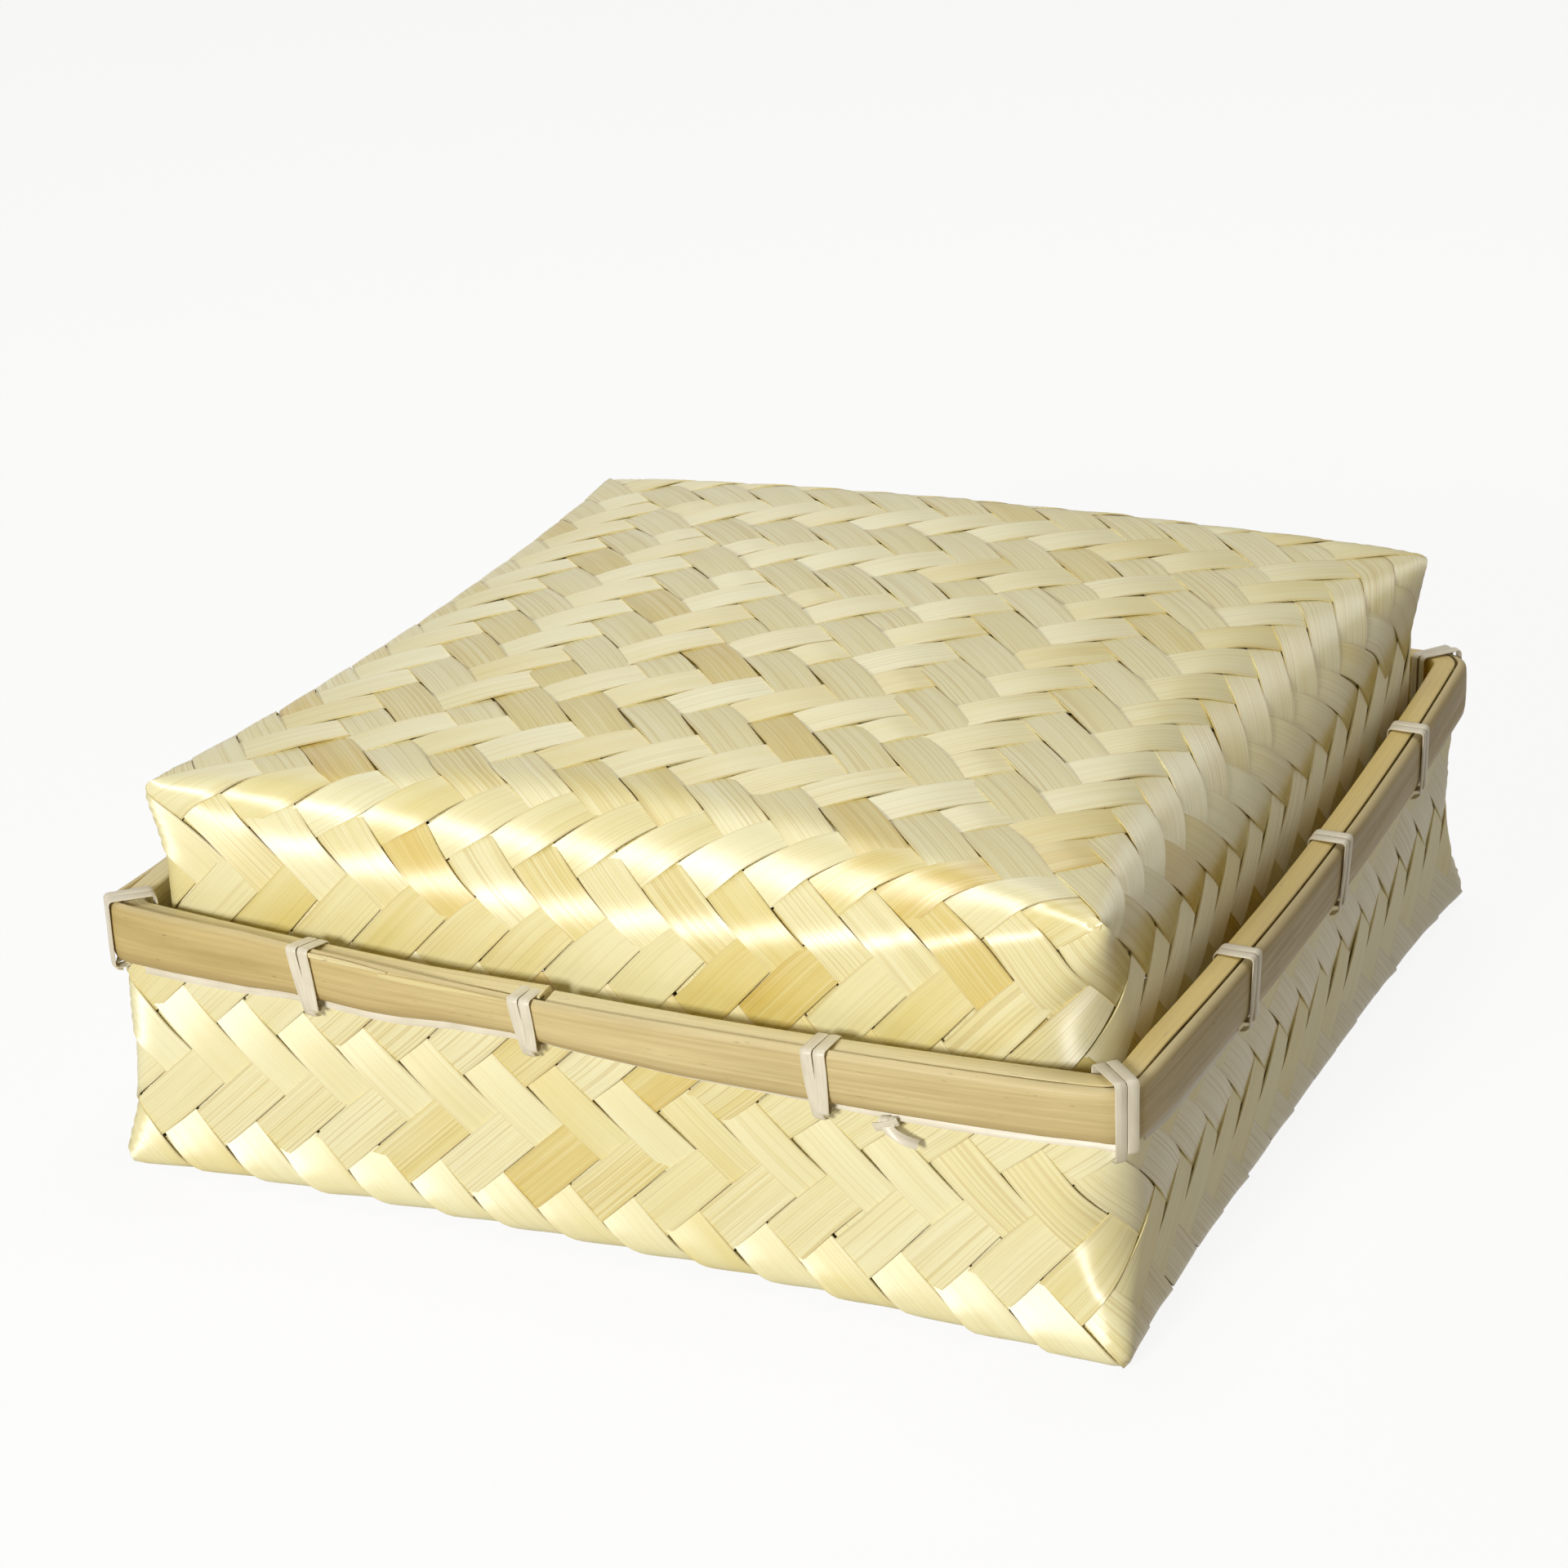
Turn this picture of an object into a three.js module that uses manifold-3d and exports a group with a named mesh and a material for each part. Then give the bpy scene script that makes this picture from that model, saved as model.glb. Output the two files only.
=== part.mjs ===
// A plaited bamboo box. The tray has a rim of two bent laths, lashed together through its wall
// with a flat ribbon. The lid is a second, smaller tray turned over: it nests in the rim and lifts
// off. Millimetres, +Z up, the front towards -Y, origin under the middle of the tray.

import * as THREE from 'three';
import { mergeVertices } from 'three/addons/utils/BufferGeometryUtils.js';
import Module from 'manifold-3d';

// Driving dimensions
const RIM_HALF = 125; // half the width over the outer lath
const RIM_TOP = 68; // top of the inner lath above the surface the box stands on
const LATH_BOTTOM = 52.4;
const OUTER_LATH_TOP = 67.2;
const OUTER_LATH_THICKNESS = 2.2;
const INNER_LATH_THICKNESS = 3.2;
const OUTER_BEND = 7.5; // bend radius of the outer lath, on its outer face
const INNER_BEND = 6; // the same for the inner lath
const WEAVE_THICKNESS = 1.8; // two crossing strips with their waviness
const GAP = 0.3; // clearance between pieces that touch
const TRAY_STRIPS = 15; // strips of each slant that cross one edge of the tray
const LID_STRIPS = 14; // the same for the lid, so it is one strip smaller
const LID_ROWS = 8; // rows of crossings down the lid's wall
const LID_TIP_HEIGHT = 94.2; // the lid's corner tips, mid weave
const TRAY_WALL_TOP = 66.5;
const RIBBON_WIDTH = 2.6;
const RIBBON_THICKNESS = 0.6;
const RIBBON_PITCH = 3.3; // from one turn of a lashing to the next
const RIBBON_BEND = 1.1; // where the ribbon turns over the laths' arrises
const RIBBON_END = 3; // how far inside the outer face a lashing's last turn ends
const RUN_HEIGHT = 2.4; // the ribbon's height where it runs under the outer lath
const RUN_SAG = 0.9;
const LAP_END = -8.5; // where the inner lath's end shows, along the front
const LAP_LENGTH = 30;
const SCARF_LENGTH = 12; // the outer lath's slanted joint, at the back
const KNOT_AT = 72; // the ribbon's knot, along the front
const GIVE_HEIGHT = 50; // above this height the wall leans out evenly with the rim
const BOW = new THREE.Vector2(2, 3); // how far the middles of the sides bow out at that height
const SAG = 1.6; // how far the middles of the sides hang down
const CORNER_LIFT = { frontLeft: 0.3, frontRight: -2, backRight: 0.8, backLeft: 0 };

// Lashings along each side, counter-clockwise from the front, measured from the middle of the side
const SIDE_NAMES = ['front', 'right', 'back', 'left'];
const LASHINGS = [[-69, -13, 56], [-56, 8, 74], [-66, -6, 60], [-60, 4, 66]];

// Sizes that follow from them
const WALL_OUTER = RIM_HALF - OUTER_LATH_THICKNESS - GAP;
const TRAY_HALF = WALL_OUTER - WEAVE_THICKNESS / 2;
const ROW = TRAY_HALF / TRAY_STRIPS; // spacing of the rows of crossings
const INNER_LATH_HALF = WALL_OUTER - WEAVE_THICKNESS - GAP;
const RIM_INNER_HALF = INNER_LATH_HALF - INNER_LATH_THICKNESS;
const RIBBON_CLEAR = GAP + RIBBON_THICKNESS / 2; // from a face to the middle of the ribbon on it

// The two plaited forms, both drawn standing open upwards from a floor at z = 0.
// The folds are rounded midway along the edges and pinched sharp at the corner tips.
const TRAY = {
  half: TRAY_HALF,
  height: TRAY_WALL_TOP - WEAVE_THICKNESS / 2,
  foldMiddle: 6.5,
  foldCorner: 1.6,
  tipReach: 3,
  tipHeight: 12,
  bow: -1.2,
  bowHeight: 45,
  corner: 4.2,
  cornerRise: 30,
  crown: { middle: 0, front: 0, back: 0 },
};
const LID = {
  half: LID_STRIPS * ROW,
  height: LID_ROWS * ROW,
  foldMiddle: 24,
  foldCorner: 1.6,
  tipReach: 2.3,
  tipHeight: 10,
  bow: 0.6,
  bowHeight: 26,
  corner: 9,
  cornerRise: 26,
  crown: { middle: 10, front: 2, back: 8 },
};

const WOVEN = { color: '#e6d69c', roughness: 0.55, metalness: 0 };
const OUTER_LATH_LOOK = { color: '#cdb684', roughness: 0.6, metalness: 0 };
const INNER_LATH_LOOK = { color: '#dcc27f', roughness: 0.55, metalness: 0 };
const RIBBON_LOOK = { color: '#e6dfcf', roughness: 0.4, metalness: 0 };

const wasm = await Module();
wasm.setup();

const box = new THREE.Group();

function addMesh(name, geometry, look) {
  const mesh = new THREE.Mesh(geometry, new THREE.MeshStandardMaterial(look));
  mesh.name = name;
  box.add(mesh);
  return mesh;
}

function geometryFrom(positions, triangles) {
  const geometry = new THREE.BufferGeometry();
  geometry.setAttribute('position', new THREE.Float32BufferAttribute(positions, 3));
  geometry.setIndex(triangles);
  return geometry;
}

// Booleans
function toSolid(geometry) {
  const bare = geometry.clone();
  bare.deleteAttribute('normal');
  bare.deleteAttribute('uv');
  const merged = mergeVertices(bare, 1e-4);
  return new wasm.Manifold(new wasm.Mesh({
    numProp: 3,
    vertProperties: new Float32Array(merged.attributes.position.array),
    triVerts: new Uint32Array(merged.index.array),
  }));
}

function fromSolid(solid) {
  const mesh = solid.getMesh();
  return geometryFrom(Array.from(mesh.vertProperties), Array.from(mesh.triVerts));
}

// The give of the hand-bent rim and of the wall under it: each side bows out and hangs down in the
// middle, and the corners stand at slightly different heights
function settle(geometry) {
  const { smoothstep } = THREE.MathUtils;
  const { frontLeft, frontRight, backRight, backLeft } = CORNER_LIFT;
  const places = geometry.attributes.position;
  for (let index = 0; index < places.count; index += 1) {
    const place = new THREE.Vector3().fromBufferAttribute(places, index);
    const { x, y, z } = place;
    const low = THREE.MathUtils.clamp(z / GIVE_HEIGHT, 0, 1) ** 2;
    const out = low + 2 * Math.max(0, z / GIVE_HEIGHT - 1);
    const wide = smoothstep(Math.abs(x), 95, 115) * Math.max(0, 1 - (y / RIM_HALF) ** 2);
    const deep = smoothstep(Math.abs(y), 95, 115) * Math.max(0, 1 - (x / RIM_HALF) ** 2);
    const right = THREE.MathUtils.clamp(x / RIM_HALF, -1, 1) / 2 + 0.5;
    const back = THREE.MathUtils.clamp(y / RIM_HALF, -1, 1) / 2 + 0.5;
    const lift = (1 - back) * ((1 - right) * frontLeft + right * frontRight)
      + back * ((1 - right) * backLeft + right * backRight);
    place.x += Math.sign(x) * wide * BOW.x * out;
    place.y += Math.sign(y) * deep * BOW.y * out;
    place.z += low * (lift - SAG * Math.max(wide, deep));
    places.setXYZ(index, ...place.toArray());
  }
  return geometry;
}

// A point of a square with rounded corners, by side and by place along the side from -1 to 1
function roundedSquare(half, radius, side, along) {
  const straight = half - radius;
  const reach = Math.abs(along) * (straight + radius * Math.PI / 4);
  const turn = radius > 0 ? Math.max(0, reach - straight) / radius : 0;
  const across = Math.min(reach, straight) + radius * Math.sin(turn);
  const out = straight + radius * Math.cos(turn);
  const point = new THREE.Vector2(Math.sign(along) * across, -out);
  return point.rotateAround(new THREE.Vector2(), side * Math.PI / 2);
}

// A point midway through a plaited form. reach runs from the middle of the floor to its edge and
// on up the wall.
function wovenPoint(form, side, along, reach) {
  const fold = form.foldCorner + (form.foldMiddle - form.foldCorner) * (1 - along ** 2);
  const past = reach - form.half;
  const turn = THREE.MathUtils.clamp((past + fold) / (2 * fold), 0, 1) * Math.PI / 2;
  const flat = Math.min(past, -fold);
  const rise = Math.max(past, fold) - fold;
  let out = form.half + flat + fold * Math.sin(turn);
  const up = rise + fold * (1 - Math.cos(turn));
  const nearEdge = Math.min(1, reach / form.half) ** 8;
  out += form.tipReach * nearEdge * along ** 6 * Math.exp(-((up / form.tipHeight) ** 2));
  const fade = Math.max(0, 1 - up / form.bowHeight) ** 2;
  out -= form.bow * nearEdge * (1 - along ** 2) * fade;
  const corner = form.corner * THREE.MathUtils.smoothstep(up, 0, form.cornerRise);
  const plan = roundedSquare(out, corner, side, along);
  return new THREE.Vector3(plan.x, plan.y, up - crownAt(form, plan, up));
}

// The bulge of the floor away from the hollow, largest in the middle, none at the corner tips
function crownAt(form, plan, up) {
  const { middle, front, back } = form.crown;
  const x = THREE.MathUtils.clamp(plan.x / form.half, -1, 1);
  const y = THREE.MathUtils.clamp(-plan.y / form.half, -1, 1);
  const lengthwise = middle + (back - front) / 2 * y - (middle - (back + front) / 2) * y * y;
  return (1 - x * x) * lengthwise * Math.max(0, 1 - up / form.height);
}

// The closed shell of a plaited form: a grid midway through the weave, thickened both ways
function wovenShell(form) {
  const perSide = 12;
  const floorRings = 4;
  const edge = form.half;
  const floorEnd = edge - form.foldMiddle;
  const reaches = [];
  for (let ring = 1; ring <= floorRings; ring += 1) reaches.push(floorEnd * ring / floorRings);
  for (const part of [0.78, 0.55, 0.25]) reaches.push(edge - form.foldMiddle * part);
  for (const part of [-1, 0, 1]) reaches.push(edge + form.foldCorner * part);
  for (const part of [0.25, 0.55, 0.78, 1]) reaches.push(edge + form.foldMiddle * part);
  const wallSteps = 4;
  const wallLeft = form.height - form.foldMiddle;
  for (let step = 1; step <= wallSteps; step += 1) {
    reaches.push(edge + form.foldMiddle + wallLeft * step / wallSteps);
  }
  const around = 4 * perSide;
  const points = [wovenPoint(form, 0, 0, 0)];
  for (const reach of reaches) {
    for (let side = 0; side < 4; side += 1) {
      for (let step = 0; step < perSide; step += 1) {
        const even = 2 * step / perSide - 1;
        const along = Math.sign(even) * (1 - (1 - Math.abs(even)) ** 2.2);
        points.push(wovenPoint(form, side, along, reach));
      }
    }
  }
  const at = (ring, step) => 1 + ring * around + (step % around);
  const faces = [];
  for (let step = 0; step < around; step += 1) {
    faces.push([0, at(0, step + 1), at(0, step)]);
    for (let ring = 0; ring + 1 < reaches.length; ring += 1) {
      faces.push([at(ring, step), at(ring, step + 1), at(ring + 1, step + 1)]);
      faces.push([at(ring, step), at(ring + 1, step + 1), at(ring + 1, step)]);
    }
  }
  const middle = geometryFrom(points.flatMap((point) => point.toArray()), faces.flat());
  middle.computeVertexNormals();
  const normal = new THREE.Vector3();
  const layer = (offset) => points.flatMap((point, index) => {
    normal.fromBufferAttribute(middle.attributes.normal, index);
    return point.clone().addScaledVector(normal, offset).toArray();
  });
  const positions = [...layer(WEAVE_THICKNESS / 2), ...layer(-WEAVE_THICKNESS / 2)];
  const inner = points.length;
  const triangles = faces.flatMap(([a, b, c]) => [a, b, c, a + inner, c + inner, b + inner]);
  const last = reaches.length - 1;
  for (let step = 0; step < around; step += 1) {
    const a = at(last, step);
    const b = at(last, step + 1);
    triangles.push(a, b, b + inner, a, b + inner, a + inner);
  }
  return geometryFrom(positions, triangles);
}

// A lath bent round the rim, as a closed ring of stations with an outer and an inner point each.
// The cuts that part its ends are outlines given along the front and in from the outer face.
function bentLath(half, thickness, bend, bottom, top, cuts, turn) {
  const bendSteps = 6;
  const sideSteps = 15;
  const stations = [];
  const add = (side, along, out, angle) => {
    for (const [depth, heights] of [[0, [bottom, top]], [thickness, [top, bottom]]]) {
      for (const height of heights) {
        const point = new THREE.Vector2(along, -out);
        point.x -= depth * Math.sin(angle);
        point.y += depth * Math.cos(angle);
        point.rotateAround(new THREE.Vector2(), side * Math.PI / 2);
        stations.push(point.x, point.y, height);
      }
    }
  };
  const straight = half - bend;
  for (let side = 0; side < 4; side += 1) {
    for (let step = 0; step <= sideSteps; step += 1) {
      add(side, straight * (2 * step / sideSteps - 1), half, 0);
    }
    for (let step = 1; step < bendSteps; step += 1) {
      const angle = step / bendSteps * Math.PI / 2;
      add(side, straight + bend * Math.sin(angle), straight + bend * Math.cos(angle), angle);
    }
  }
  const count = stations.length / 3;
  const triangles = [];
  for (let first = 0; first < count; first += 4) {
    for (let corner = 0; corner < 4; corner += 1) {
      const a = first + corner;
      const b = first + (corner + 1) % 4;
      const c = (b + 4) % count;
      const d = (a + 4) % count;
      triangles.push(a, d, c, a, c, b);
    }
  }
  let lath = toSolid(settle(geometryFrom(stations, triangles)));
  for (const cut of cuts) {
    const shape = new THREE.Shape(cut.map(([along, inward]) => new THREE.Vector2(along, inward - half)));
    const tool = new THREE.ExtrudeGeometry(shape, { depth: top - bottom + 2, bevelEnabled: false });
    lath = lath.subtract(toSolid(settle(tool.translate(0, 0, bottom - 1).rotateZ(turn))));
  }
  return fromSolid(lath);
}

// A flat ribbon through a list of points, each with the place of its middle, the direction across
// its thickness and the direction across its width
function ribbonThrough(stations, width, thickness) {
  const positions = [];
  for (const { place, through, across } of stations) {
    for (const [u, v] of [[-1, -1], [1, -1], [1, 1], [-1, 1]]) {
      const corner = place.clone();
      corner.addScaledVector(across, u * width / 2);
      corner.addScaledVector(through, v * thickness / 2);
      positions.push(...corner.toArray());
    }
  }
  const triangles = [0, 1, 2, 0, 2, 3];
  for (let station = 0; station + 1 < stations.length; station += 1) {
    for (let side = 0; side < 4; side += 1) {
      const a = 4 * station + side;
      const b = 4 * station + (side + 1) % 4;
      triangles.push(a, a + 4, b + 4, a, b + 4, b);
    }
  }
  const end = 4 * (stations.length - 1);
  triangles.push(end, end + 2, end + 1, end, end + 3, end + 2);
  return geometryFrom(positions, triangles);
}

// How far along the rim a lashing's last turn has stepped where it ends
function lashingEnd(outer, inner) {
  const start = inner + RIBBON_BEND;
  const part = (outer - RIBBON_END - start) / (outer - RIBBON_BEND - start);
  return RIBBON_PITCH * (0.5 + part);
}

// The two turns of one lashing, drawn in its own frame: x along the rim, y inwards, z up.
// Each turn climbs the outer lath, crosses the top, goes down inside and comes back under the
// laths through the wall, stepping one ribbon along on the way.
function lashingStations(outer, inner) {
  const low = LATH_BOTTOM - RIBBON_CLEAR;
  const high = RIM_TOP + RIBBON_CLEAR;
  const bend = RIBBON_BEND;
  const bendSteps = 3;
  const turns = 2;
  const stations = [];
  const across = new THREE.Vector3(1, 0, 0);
  const add = (x, out, z, angle) => stations.push({
    place: new THREE.Vector3(x, -out, z),
    through: new THREE.Vector3(0, -Math.cos(angle), Math.sin(angle)),
    across,
  });
  const corner = (xFrom, xTo, out, z, startAngle) => {
    for (let step = 0; step <= bendSteps; step += 1) {
      const angle = startAngle + step / bendSteps * Math.PI / 2;
      const x = xFrom + (xTo - xFrom) * step / bendSteps;
      add(x, out + bend * Math.cos(angle), z + bend * Math.sin(angle), angle);
    }
  };
  add(-RIBBON_PITCH / 2, outer, low - 1, 0);
  for (let turn = 0; turn < turns; turn += 1) {
    const x = (turn - 0.5) * RIBBON_PITCH;
    corner(x, x, outer - bend, high - bend, 0);
    corner(x, x, inner + bend, high - bend, Math.PI / 2);
    corner(x, x, inner + bend, low + bend, Math.PI);
    const next = x + RIBBON_PITCH;
    if (turn + 1 < turns) corner(next, next, outer - bend, low + bend, 1.5 * Math.PI);
    else add(lashingEnd(outer, inner), outer - RIBBON_END, low, 1.5 * Math.PI);
  }
  return stations;
}

// The least clearance between the turns of a lashing, measured between points along its edges
function leastGap(stations) {
  const samples = [];
  let run = 0;
  for (let index = 0; index + 1 < stations.length; index += 1) {
    const from = stations[index];
    const to = stations[index + 1];
    const length = from.place.distanceTo(to.place);
    const steps = Math.ceil(length / 0.4);
    for (let step = 0; step < steps; step += 1) {
      const place = from.place.clone().lerp(to.place, step / steps);
      for (const side of [-1, 0, 1]) {
        const edge = place.clone().addScaledVector(from.across, side * RIBBON_WIDTH / 2);
        samples.push({ edge, run: run + length * step / steps });
      }
    }
    run += length;
  }
  let least = Infinity;
  for (const one of samples) {
    for (const other of samples) {
      if (other.run - one.run < 3 * RIBBON_WIDTH) continue;
      least = Math.min(least, one.edge.distanceTo(other.edge));
    }
  }
  return least;
}

// Where the ribbon of a lashing comes back through the wall, as a slot to cut
function lashingSlot(outer, inner) {
  const clear = 0.4;
  const left = -RIBBON_WIDTH / 2 - clear;
  const right = lashingEnd(outer, inner) + RIBBON_WIDTH / 2 + clear;
  const size = new THREE.Vector3(right - left, outer - inner + 6, RIBBON_THICKNESS + 2 * clear);
  const slot = new THREE.BoxGeometry(size.x, size.y, size.z);
  const low = LATH_BOTTOM - RIBBON_CLEAR;
  return slot.translate((left + right) / 2, -(outer + inner) / 2, low);
}

// Frames of the lashings: on a side they stand square to it, at a corner they stand on the diagonal
const cornerOuter = (RIM_HALF - OUTER_BEND) * Math.SQRT2 + OUTER_BEND + RIBBON_CLEAR;
const innerBendLeft = INNER_BEND - INNER_LATH_THICKNESS;
const halfSpan = (RIBBON_PITCH + RIBBON_WIDTH) / 2;
const cornerInner = RIM_INNER_HALF * Math.SQRT2 - Math.max(halfSpan, innerBendLeft) - RIBBON_CLEAR;
const frames = [];
SIDE_NAMES.forEach((name, side) => {
  const turn = side * Math.PI / 2;
  const cornerTurn = new THREE.Matrix4().makeRotationZ(turn - Math.PI / 4);
  frames.push({ name: `lashing_${name}_corner`, matrix: cornerTurn, outer: cornerOuter,
    inner: cornerInner });
  LASHINGS[side].forEach((along, index) => {
    const matrix = new THREE.Matrix4().makeRotationZ(turn);
    matrix.multiply(new THREE.Matrix4().makeTranslation(along, 0, 0));
    frames.push({ name: `lashing_${name}_${index + 1}`, matrix,
      outer: RIM_HALF + RIBBON_CLEAR, inner: RIM_INNER_HALF - RIBBON_CLEAR });
  });
});

// The tray, with the slots for the lashings through its wall
let tray = toSolid(settle(wovenShell(TRAY).translate(0, 0, WEAVE_THICKNESS / 2)));
for (const { matrix, outer, inner } of frames) {
  tray = tray.subtract(toSolid(settle(lashingSlot(outer, inner).applyMatrix4(matrix))));
}
addMesh('tray_weave', fromSolid(tray), WOVEN);

// The lid, turned over so that its floor becomes the top
const lid = addMesh('lid_weave', wovenShell(LID), WOVEN);
lid.rotation.x = Math.PI;
lid.position.z = LID_TIP_HEIGHT;

// The rim's two laths: the outer one's ends meet on a slant at the back, the inner one's are halved
// and lapped on the front
const scarfGap = 0.4 * Math.hypot(SCARF_LENGTH, OUTER_LATH_THICKNESS) / OUTER_LATH_THICKNESS;
const scarf = [[-1, -1], [-1, 1], [1, 1], [1, -1]].map(([end, side]) => [
  end * SCARF_LENGTH + side * scarfGap / 2,
  (end + 0.5) * OUTER_LATH_THICKNESS,
]);
addMesh('rim_outer_lath', bentLath(
  RIM_HALF, OUTER_LATH_THICKNESS, OUTER_BEND, LATH_BOTTOM, OUTER_LATH_TOP, [scarf], Math.PI,
), OUTER_LATH_LOOK);

const lapMiddle = INNER_LATH_THICKNESS / 2;
const lapStart = LAP_END - LAP_LENGTH;
const slab = (from, to, inner, outer) => [[from, inner], [to, inner], [to, outer], [from, outer]];
addMesh('rim_inner_lath', bentLath(
  INNER_LATH_HALF, INNER_LATH_THICKNESS, INNER_BEND, LATH_BOTTOM, RIM_TOP,
  [
    slab(lapStart - GAP, lapStart, -1, lapMiddle + GAP / 2),
    slab(lapStart - GAP, LAP_END + GAP, lapMiddle - GAP / 2, lapMiddle + GAP / 2),
    slab(LAP_END, LAP_END + GAP, lapMiddle - GAP / 2, INNER_LATH_THICKNESS + 1),
  ],
  0,
), INNER_LATH_LOOK);

// The lashings
for (const { name, matrix, outer, inner } of frames) {
  const stations = lashingStations(outer, inner);
  console.log(`${name}: least gap between its turns ${leastGap(stations).toFixed(2)} mm`);
  const winding = ribbonThrough(stations, RIBBON_WIDTH, RIBBON_THICKNESS);
  addMesh(name, settle(winding.applyMatrix4(matrix)), RIBBON_LOOK);
}

// The stretches of ribbon that run along the wall from one lashing to the next
const runOut = WALL_OUTER + RIBBON_CLEAR;
const runTop = LATH_BOTTOM - GAP - RUN_HEIGHT / 2;
SIDE_NAMES.forEach((name, side) => {
  const stops = [-RIM_HALF + 9, ...LASHINGS[side], RIM_HALF - 8];
  for (let index = 0; index + 1 < stops.length; index += 1) {
    const from = stops[index] + 9;
    const to = stops[index + 1] - 5.5;
    const steps = 6;
    const stations = [];
    for (let step = 0; step <= steps; step += 1) {
      const part = step / steps;
      const sag = RUN_SAG * Math.sin(part * Math.PI);
      stations.push({
        place: new THREE.Vector3(from + (to - from) * part, -runOut, runTop - sag),
        through: new THREE.Vector3(0, -1, 0),
        across: new THREE.Vector3(0, 0, -1),
      });
    }
    const run = ribbonThrough(stations, RUN_HEIGHT, RIBBON_THICKNESS);
    run.rotateZ(side * Math.PI / 2);
    addMesh(`ribbon_run_${name}_${index + 1}`, settle(run), RIBBON_LOOK);
  }
});

// The knot where the ribbon's two ends meet, with one cut tail
const knotOut = WALL_OUTER + GAP + RIBBON_THICKNESS + GAP + 1.1;
const lump = new THREE.SphereGeometry(1, 12, 8).scale(2.6, 1.1, 2.2);
const tail = new THREE.BoxGeometry(1.8, 0.6, 8).rotateY(-0.5).translate(2.4, 0, -3.6);
const knot = fromSolid(toSolid(lump).add(toSolid(tail)));
addMesh('ribbon_knot', settle(knot.translate(KNOT_AT, -knotOut, runTop - 1.2)), RIBBON_LOOK);

export default box;
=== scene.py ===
# %% [markdown]
# A plaited bamboo box with a lift-off lid. The tray and the lid are each plaited from about sixty
# flat strips, laid on the slant, and the tray's edge is held between two bent laths that a flat
# ribbon lashes together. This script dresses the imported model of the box: it makes every strip,
# both laths and the ribbon, in the place where the model has its plain solids.

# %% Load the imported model
import math
import bpy
import numpy as np
from mathutils import Matrix, Vector


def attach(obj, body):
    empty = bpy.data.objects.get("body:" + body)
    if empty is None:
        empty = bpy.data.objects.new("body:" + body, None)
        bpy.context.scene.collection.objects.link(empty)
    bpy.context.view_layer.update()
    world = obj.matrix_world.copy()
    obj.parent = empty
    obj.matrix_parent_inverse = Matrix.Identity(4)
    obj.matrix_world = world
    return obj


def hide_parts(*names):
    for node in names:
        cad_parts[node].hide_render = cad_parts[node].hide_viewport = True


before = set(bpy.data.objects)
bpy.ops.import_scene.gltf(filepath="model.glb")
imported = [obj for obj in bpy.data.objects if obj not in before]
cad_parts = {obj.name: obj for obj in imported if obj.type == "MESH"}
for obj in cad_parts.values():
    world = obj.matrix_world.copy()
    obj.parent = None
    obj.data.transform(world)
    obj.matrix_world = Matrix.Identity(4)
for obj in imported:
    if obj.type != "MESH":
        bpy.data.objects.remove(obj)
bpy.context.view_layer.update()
MM = 0.001

# %% [markdown]
# The camera stands where the photographer stood: to the right of the front and a little above the
# box, with a long lens and the picture slightly tilted. Its axes are written out, because a tilted
# view is easier to read as three directions than as three angles.

# %% Camera
AZIMUTH, ELEVATION, ROLL = (math.radians(angle) for angle in (25.67, 23.21, -2.37))
CAMERA_PLACE = Vector((372.9, -797.5, 442.6)) * MM
FOCAL_PIXELS, IMAGE_PIXELS = 4870, 1920

backwards = Vector((math.sin(AZIMUTH) * math.cos(ELEVATION),
                    -math.cos(AZIMUTH) * math.cos(ELEVATION), math.sin(ELEVATION)))
level_right = Vector((math.cos(AZIMUTH), math.sin(AZIMUTH), 0))
level_up = backwards.cross(level_right)
right = math.cos(ROLL) * level_right + math.sin(ROLL) * level_up
up = math.cos(ROLL) * level_up - math.sin(ROLL) * level_right

scene = bpy.context.scene


def new_object(name, data):
    made = bpy.data.objects.new(name, data)
    scene.collection.objects.link(made)
    return made


lens = bpy.data.cameras.new("photo_lens")
lens.sensor_width = 36
lens.lens = lens.sensor_width * FOCAL_PIXELS / IMAGE_PIXELS
camera = new_object("photo_camera", lens)
axes = Matrix((right, up, backwards)).transposed()
camera.matrix_world = Matrix.Translation(CAMERA_PLACE) @ axes.to_4x4()
scene.camera = camera
print("lens", round(lens.lens, 2), "mm")

# %% [markdown]
# Every material and every Geometry Nodes tree below is made of nodes, so one small function adds a
# node: it sets the node's options, and for each input it links a socket or writes a value. A node
# given as an input stands for its first output. Colours are written as the hex values that a paint
# program shows, and turned to linear light here.

# %% Helpers for nodes and colours
def connect(tree, node, inputs):
    for name, value in inputs.items():
        if isinstance(value, bpy.types.Node):
            value = value.outputs[0]
        if isinstance(value, bpy.types.NodeSocket):
            tree.links.new(value, node.inputs[name])
        else:
            node.inputs[name].default_value = value


def add(tree, kind, inputs=None, **options):
    node = tree.nodes.new(kind)
    for name, value in options.items():
        setattr(node, name, value)
    connect(tree, node, inputs or {})
    return node


def linear(text):
    parts = [int(text[index:index + 2], 16) / 255 for index in (1, 3, 5)]
    return tuple(part / 12.92 if part <= 0.04045 else ((part + 0.055) / 1.055) ** 2.4
                 for part in parts) + (1,)


def set_ramp(node, stops):
    ramp = node.color_ramp
    while len(ramp.elements) < len(stops):
        ramp.elements.new(0.5)
    for element, (place, colour) in zip(ramp.elements, stops):
        element.position = place
        element.color = linear(colour)


print("white is", linear("#FFFFFF"))

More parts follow.
